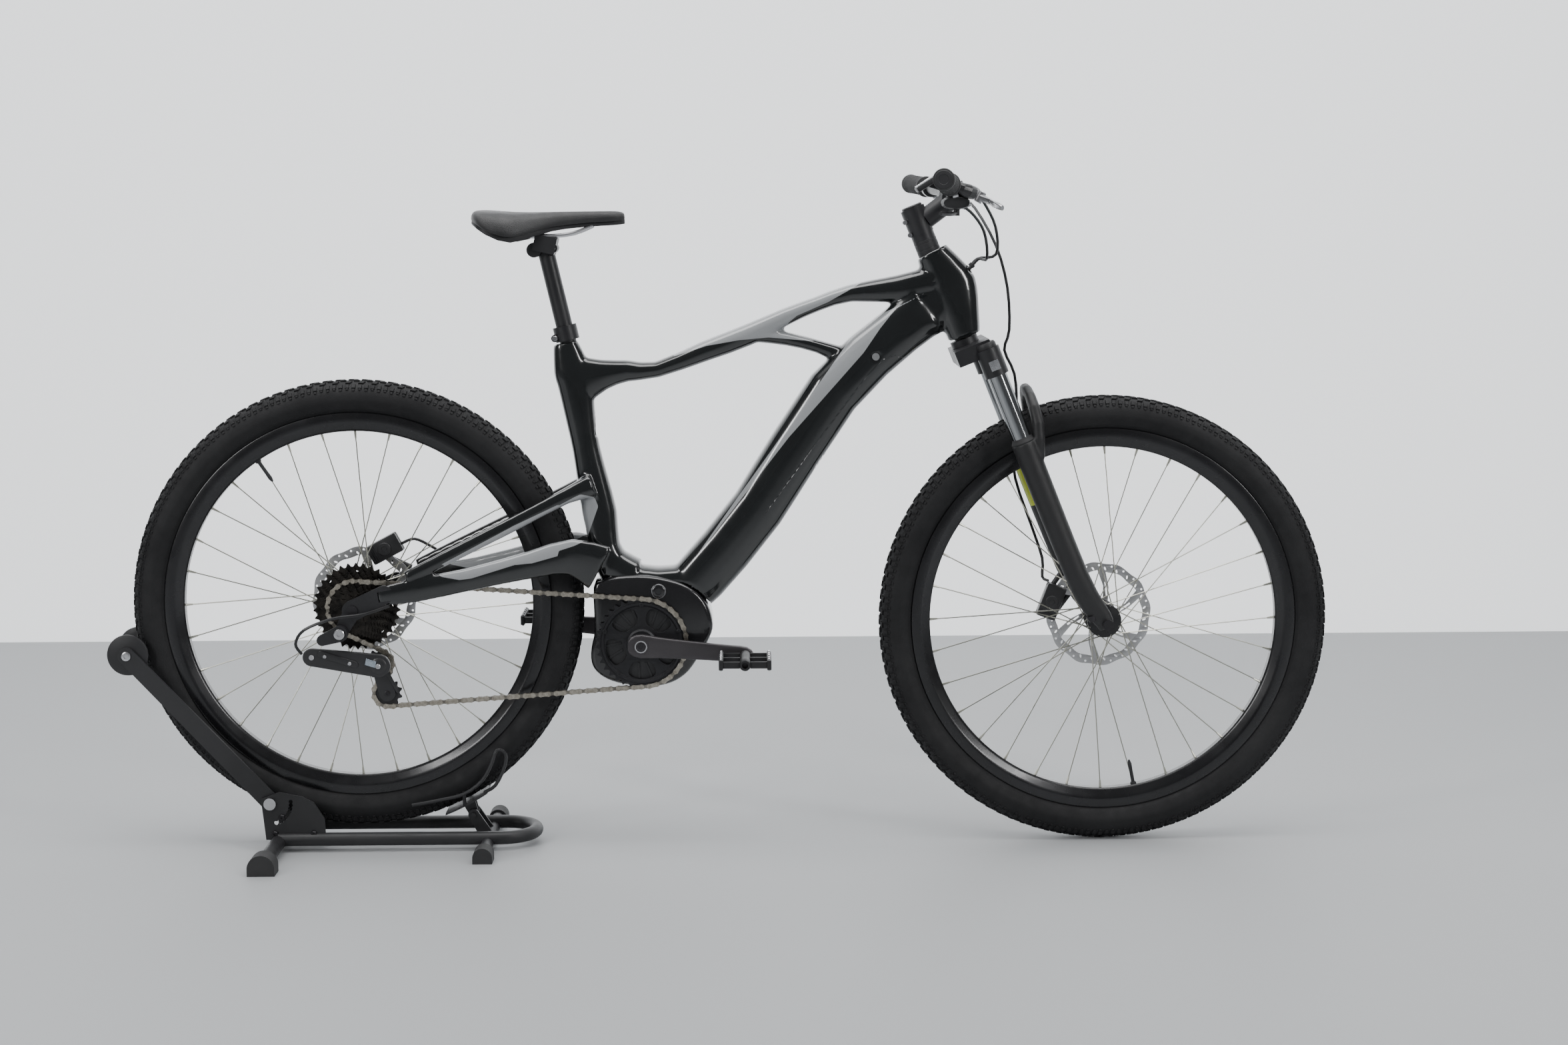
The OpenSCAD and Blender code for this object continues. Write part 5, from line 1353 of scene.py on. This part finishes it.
decal_lime = finish("decal_lime", (0.50, 0.60, 0.02), (0.62, 0.70, 0.05), (0.3, 0.42), coat=0.4,
                    patch=40)
decal = oval_sweep([(on_head(25, u, 66), steer_fwd * r / 1000, across_y * r / 1000)
                    for u, r in ((210, 19.9), (211, 20.3), (289, 20.5), (290, 20.1))], 40)
keep = [f for f in decal[1] if len(f) == 4 and sum(decal[0][i].y for i in f) / 4 < 0.0585]
add_piece("leg_decal", decal[0], keep, decal_lime, "fork", 40, "satin_black_metal")
rebound = rod(on_head(25, 24, -66), on_head(25, 14, -66), [0.009, 0.009, 0.007], 24)
add_piece("rebound_knob", *rebound, dark_metal, "fork", 30, "silver_alloy")
lockout = join_parts([rod(on_head(25, 494, -66), on_head(25, 503, -66),
                          [0.0165, 0.0168, 0.0168, 0.015], 36),
                      bar_box((-9, -4, -2), (9, 4, 2), 1.2)])
lock_knob = rod(on_head(25, 494, -66), on_head(25, 504, -66), [0.0165, 0.0168, 0.0168, 0.015], 36)
air_cap = rod(on_head(25, 494, 66), on_head(25, 500, 66), [0.0165, 0.0165, 0.014], 36)
add_piece("crown_caps", *join_parts([lock_knob, air_cap]), moulded_black, "steering", 30,
          "black_plastic")

# ---------------------------------------------------------------- crown, headset and stem
# A forged crown with the steerer above it, a stack of spacers, a cap on the steerer, and a bolted
# stem with a four-screw plate round the bar.
crown_silver = finish("crown_silver", (0.46, 0.47, 0.49), (0.62, 0.63, 0.66), (0.22, 0.32),
                      metal=0.8, coat=0.4, patch=50)
badge_mid = on_head(26, 466, -86.3)
crown_badge = [badge_mid + (steer_fwd * f + steer_up * u + Vector((0, y, 0))) / 1000
               for y in (0.4, -0.5) for f, u in ((-8, -8), (8, -8), (8, 8), (-8, 8))]
add_piece("crown_badge", crown_badge, [(0, 1, 2, 3), (7, 6, 5, 4), (0, 4, 5, 1), (1, 5, 6, 2),
                                       (2, 6, 7, 3), (3, 7, 4, 0)], crown_silver, "steering",
          30, "silver_alloy")
paint("stem", satin_black)
STEM_L, STEM_U, BAR_HALF = 70, 738, 380
BAR = on_head(STEM_L, STEM_U)


def spindle(p, axis, profile, sides=32):
    """A turned solid along an axis from p: (distance, radius) in mm, closed at both ends."""
    axis = axis.normalized()
    side = axis.orthogonal().normalized()
    other = axis.cross(side)
    verts, faces = [], []
    for d, r in profile:
        for k in range(sides):
            t = 2 * math.pi * k / sides
            verts.append(p + (axis * d + r * (side * math.cos(t) + other * math.sin(t))) / 1000)
    for i in range(len(profile) - 1):
        for k in range(sides):
            m = (k + 1) % sides
            faces.append((i * sides + k, i * sides + m, (i + 1) * sides + m, (i + 1) * sides + k))
    faces.append(tuple(reversed(range(sides))))
    faces.append(tuple((len(profile) - 1) * sides + k for k in range(sides)))
    return verts, faces


spacers = [spindle(on_head(0, u), steer_up, [(0.2, 18.6), (0.8, 19.2), (h - 0.8, 19.2),
                                             (h - 0.2, 18.6)], 48)
           for u, h in ((657, 10), (667, 10), (677, 10), (687, 5))]
add_piece("headset_spacers", *join_parts(spacers), moulded_black, "steering", 30,
          "black_plastic")
stem_cap = spindle(on_head(0, 747), steer_up, [(0, 17), (3, 17), (4.4, 15.4), (4.4, 4),
                                               (2.6, 3.6)], 40)
add_piece("stem_cap", *stem_cap, satin_black, "steering", 30, "satin_black_metal")
stem_bolts = []
bar_face = (BAR - on_head(0, STEM_U)).normalized()
for y in (-16, 16):
    for du in (-19, 19):
        at = BAR + (bar_face * 17 + steer_up * du + Vector((0, y, 0))) / 1000
        stem_bolts.append(spindle(at, bar_face, [(-6, 4.4), (3, 4.4), (3.6, 4), (3.6, 2),
                                                 (1.8, 2)], 16))
for du in (-8, -30):
    at = on_head(-20, STEM_U + du, -9)
    stem_bolts.append(spindle(at, Vector((0, -1, 0)), [(-6, 4), (5, 4), (5.6, 3.6), (5.6, 2),
                                                       (3.8, 2)], 16))
add_piece("stem_bolts", *join_parts(stem_bolts), steel, "steering", 30, "bright_steel")

# ---------------------------------------------------------------- handlebar and grips
# A swept aluminium bar, thick at the stem and drawn down to the grips, anodised matt black.
# The grips are moulded rubber with rings of ribs between smooth collars and a hard end cap.
bar_anodised = finish("bar_anodised", (0.012, 0.012, 0.013), (0.018, 0.018, 0.020),
                      (0.26, 0.36), metal=0.2, grain=0.00002, grain_scale=1900)
paint("handlebar", bar_anodised)
grip_rubber = finish("grip_rubber", (0.020, 0.020, 0.021), (0.036, 0.036, 0.037), (0.6, 0.75),
                     grain=0.0001, grain_scale=1600)


def on_bar(y, dx=0.0, dz=0.0, dy=0.0):
    a = abs(y)
    if a < 45:
        x, z = 0, 0
    elif a < 110:
        x, z = -8 * (a - 45) / 65, 12 * (a - 45) / 65
    else:
        x, z = -8 - 38 * (a - 110) / 270, 12 + 13 * (a - 110) / 270
    return BAR + Vector((x + dx, y + dy, z + dz)) / 1000


grips, grip_caps = [], []
for s in (-1, 1):
    inner = on_bar(s * (BAR_HALF - 132))
    run = on_bar(s * BAR_HALF) - inner
    length = run.length * 1000
    profile = [(0.2, 13), (0.6, 17.4), (4, 18), (7, 17.6), (8, 15.4)]
    d = 9.0
    while d < length - 14:
        profile += [(d, 15), (d + 0.8, 16.1), (d + 2.0, 16.1), (d + 2.8, 15)]
        d += 3.6
    profile += [(length - 8, 15.4), (length - 6.6, 16.6), (length + 1.5, 16.6),
                (length + 2.4, 15.6)]
    grips.append(spindle(inner, run, profile, 40))
    grip_caps.append(spindle(on_bar(s * BAR_HALF), run, [(2.2, 12), (3.4, 13.6), (4.2, 13.0),
                                                         (4.4, 8), (3.8, 7.4)], 32))
add_piece("grip_sleeves", *join_parts(grips), grip_rubber, "steering", 32, "grip_rubber",
          ["grips"])
add_piece("grip_end_caps", *join_parts(grip_caps), moulded_black, "steering", 30,
          "black_plastic")

# ---------------------------------------------------------------- display
# A control box on the left of the bar, tilted towards the rider: a moulded black case with a
# pale screen cover flush in its face.
screen_pale = finish("screen_pale", (0.50, 0.51, 0.52), (0.58, 0.59, 0.60), (0.12, 0.2),
                     coat=0.8, coat_rough=0.05, patch=30)


def tilted(part, centre, tilt):
    """Turns a part made at the origin about the Y axis, then sets it in place."""
    c, s = math.cos(math.radians(tilt)), math.sin(math.radians(tilt))
    return [centre + Vector((c * v.x + s * v.z, v.y, -s * v.x + c * v.z)) for v in part[0]], part[1]


face_at = on_bar(62, -34, 16)
case = [tilted(bar_box((-22, -30, 0), (24, 30, 9.4), 3.2), face_at, -32),
        spindle(on_bar(46), on_bar(56) - on_bar(46), [(0, 17), (0.8, 20), (9.2, 20), (10, 17)],
                40)]
mount = on_bar(51, -10, 12)
case.append(rod(mount, face_at + Vector((0, -0.008, 0.002)), [0.0045] * 2, 16))
add_piece("display_case", *join_parts(case), moulded_black, "steering", 32, "black_plastic",
          ["display"])
screen = tilted(bar_box((-19.5, -27, 8.6), (21.5, 27, 11), 0.9), face_at, -32)
add_piece("display_screen", *screen, screen_pale, "steering", 30, "screen_grey")

# ---------------------------------------------------------------- brakes
# Hydraulic disc brakes: a forged lever body clamped each side of the bar with its cylinder
# inboard, a bright two-finger blade, and a black caliper with cooling fins over each disc.
forged_black = finish("forged_black", (0.013, 0.013, 0.014), (0.024, 0.024, 0.026),
                      (0.3, 0.44), coat=0.25, coat_rough=0.15, grain=0.00003, grain_scale=1700)
blade_silver = finish("blade_silver", (0.40, 0.40, 0.41), (0.54, 0.54, 0.55), (0.22, 0.34),
                      metal=1, grain=0.00001, grain_scale=300, lines=(8, 1, 8))
paint("brake_masters", forged_black)
MASTER = 206
bar_hardware = []
for s in (-1, 1):
    for dz in (-15, 13):
        at = on_bar(s * (MASTER + 7), 6, dz)
        bar_hardware.append(spindle(at, Vector((0.9, 0, -0.2 * dz / 15)),
                                    [(-3, 3.8), (5, 3.8), (5.6, 3.4), (5.6, 1.8), (4, 1.8)], 14))
add_piece("clamp_screws", *join_parts(bar_hardware), steel, "steering", 30, "bright_steel")


def ribbon(points, widths, thick, flat_way, sides=16):
    """A rounded strip along a line: wide across its own run, thin along flat_way (mm)."""
    sections = []
    for i, p in enumerate(points):
        run = (points[min(i + 1, len(points) - 1)] - points[max(i - 1, 0)]).normalized()
        thin = (flat_way - flat_way.dot(run) * run).normalized()
        sections.append((p, thin * thick[i] / 1000, run.cross(thin) * widths[i] / 1000))
    return oval_sweep(sections, sides, 0.8)


for s, name in ((-1, "right"), (1, "left")):
    pivot_at = Vector(joint[f"brake_lever_{name}_pull"]["pos_m"])
    lever_axis = Vector(joint[f"brake_lever_{name}_pull"]["axis"]).normalized()
    line = [pivot_at + Vector(c) / 1000 for c in (
        (0, 0, 0), (6, s * 8, -3), (11, s * 20, -6), (14, s * 38, -8), (13, s * 60, -9.4),
        (12.6, s * 80, -10.4), (14.6, s * 95, -11.8), (18, s * 106, -13.8),
        (23, s * 112.6, -16.6))]
    blade = ribbon(line, [5.6, 5.6, 5.4, 5.4, 5.6, 5.6, 5.4, 5.2, 4.2],
                   [4.2, 4.2, 3.4, 2.8, 2.8, 2.8, 3, 3.6, 3.2], Vector((1, 0, 0.2)))
    boss = spindle(pivot_at - lever_axis * 0.009, lever_axis,
                   [(0, 5.2), (0.8, 6), (17.2, 6), (18, 5.2)], 28)
    add_piece(f"lever_blade_{name}", *join_parts([blade, boss]), blade_silver,
              f"brake_lever_{name}", 34, "silver_alloy", [f"brake_lever_{name}"])
for end, body, hub_at, at, turn, long, deep in (
        ("front", "fork", FRONT, (-80, 22), 21, (17, 29), "x"),
        ("rear", "frame", REAR, (36, 84), -28, (28, 17), "z")):
    y = WHEELS[end]["rotor_y"]
    middle = hub_at + Vector((at[0], 0, at[1])) / 1000
    a, b = long
    bridge = ((-a, y - 9, -b + 6), (-a + 6, y + 9, b - 6)) if deep == "x" else (
        (-a + 6, y - 9, b - 6), (a - 6, y + 9, b))
    parts = [bar_box((-a, y - 11, -b), (a, y - 2.2, b), 4), bar_box((-a, y + 2.2, -b),
                                                                   (a, y + 11, b), 4),
             bar_box(*bridge, 2)]
    for side in (-1, 1):
        parts.append(spindle(Vector((0, (y + side * 9) / 1000, 0)), Vector((0, side, 0)),
                             [(0, 11), (3.2, 11), (4, 10), (4, 5), (3, 4.6)], 24))
        for k in range(3):
            if deep == "x":
                fin = (-a + 3, 0, -b + 4 + 3.4 * k), (a - 3, 0, -b + 5.6 + 3.4 * k)
            else:
                fin = (-a + 4 + 3.4 * k, 0, -b + 3), (-a + 5.6 + 3.4 * k, 0, b - 3)
            y0, y1 = sorted((y + side * 10, y + side * 12.4))
            parts.append(bar_box((fin[0][0], y0, fin[0][2]), (fin[1][0], y1, fin[1][2]), 0.5))
    parts = [tilted(part, middle, turn) for part in parts]
    if end == "front":
        for x, z, u in ((-80, 44, 84), (-72, 2, 46)):
            parts.append(rod(hub_at + Vector((x, y + 8, z)) / 1000,
                             on_head(25, u, 66) + Vector((-12, -14, 0)) / 1000, [0.0045] * 2, 16))
    else:
        parts.append(rod(from_rear(30, 72, y + 9), from_rear(78, 50, y + 9), [0.005] * 2, 16))
    add_piece(f"{end}_caliper_body", *join_parts(parts), forged_black, body, 32,
              "satin_black_metal", [f"{end}_caliper"])

# ---------------------------------------------------------------- shifter
# The gear changer under the right of the bar: a moulded body on a hinged clamp, a window band,
# and a ribbed thumb lever.
paint("shifter", moulded_black)
paint("shift_lever", composite)
shift_mid = on_bar(-186)
window = rod(shift_mid + Vector((0.014, 0.002, -0.0135)), shift_mid + Vector((0.022, -0.012,
                                                                          -0.0150)),
             [0.0052] * 2, 20)
add_piece("shifter_cap", *window, gloss_housing, "steering", 30, "black_plastic")

# ---------------------------------------------------------------- hoses
# Brake hoses and the gear cable keep the model's own routes, with two rubber ports where they
# enter the frame.
hose_black = finish("hose_black", (0.013, 0.013, 0.014), (0.022, 0.022, 0.023), (0.3, 0.42),
                    grain=0.00002, grain_scale=1500)
paint("front_hoses", hose_black)
paint("rear_hoses", hose_black)
ports = []
for y in (-8, 8):
    ports.append(spindle(on_head(50, 622, y), Vector((0.72, 0, 0.69)),
                         [(4, 4.4), (9, 4.4), (9.6, 3.6)], 20))
add_piece("cable_ports", *join_parts(ports), rubber, "frame", 30, "rubber_black")

# ---------------------------------------------------------------- frame fittings
# Small fittings on the frame: dropouts, axles, the seat collar, the power button on the top
# tube and bottle screws inside the triangle.
button_grey = finish("button_grey", (0.16, 0.165, 0.17), (0.22, 0.225, 0.23), (0.3, 0.42),
                     patch=60)
paint("power_button", button_grey)
fittings = []
for x, z in ((608, 557), (573, 506)):
    at = from_rear(x, z - 405)
    fittings.append(bolt_head(at, Vector((-0.79, 0, 0.61)), 0.0052, 0.0035, 20, 0.5))
add_piece("bottle_screws", *join_parts(fittings), steel, "frame", 30, "bright_steel")
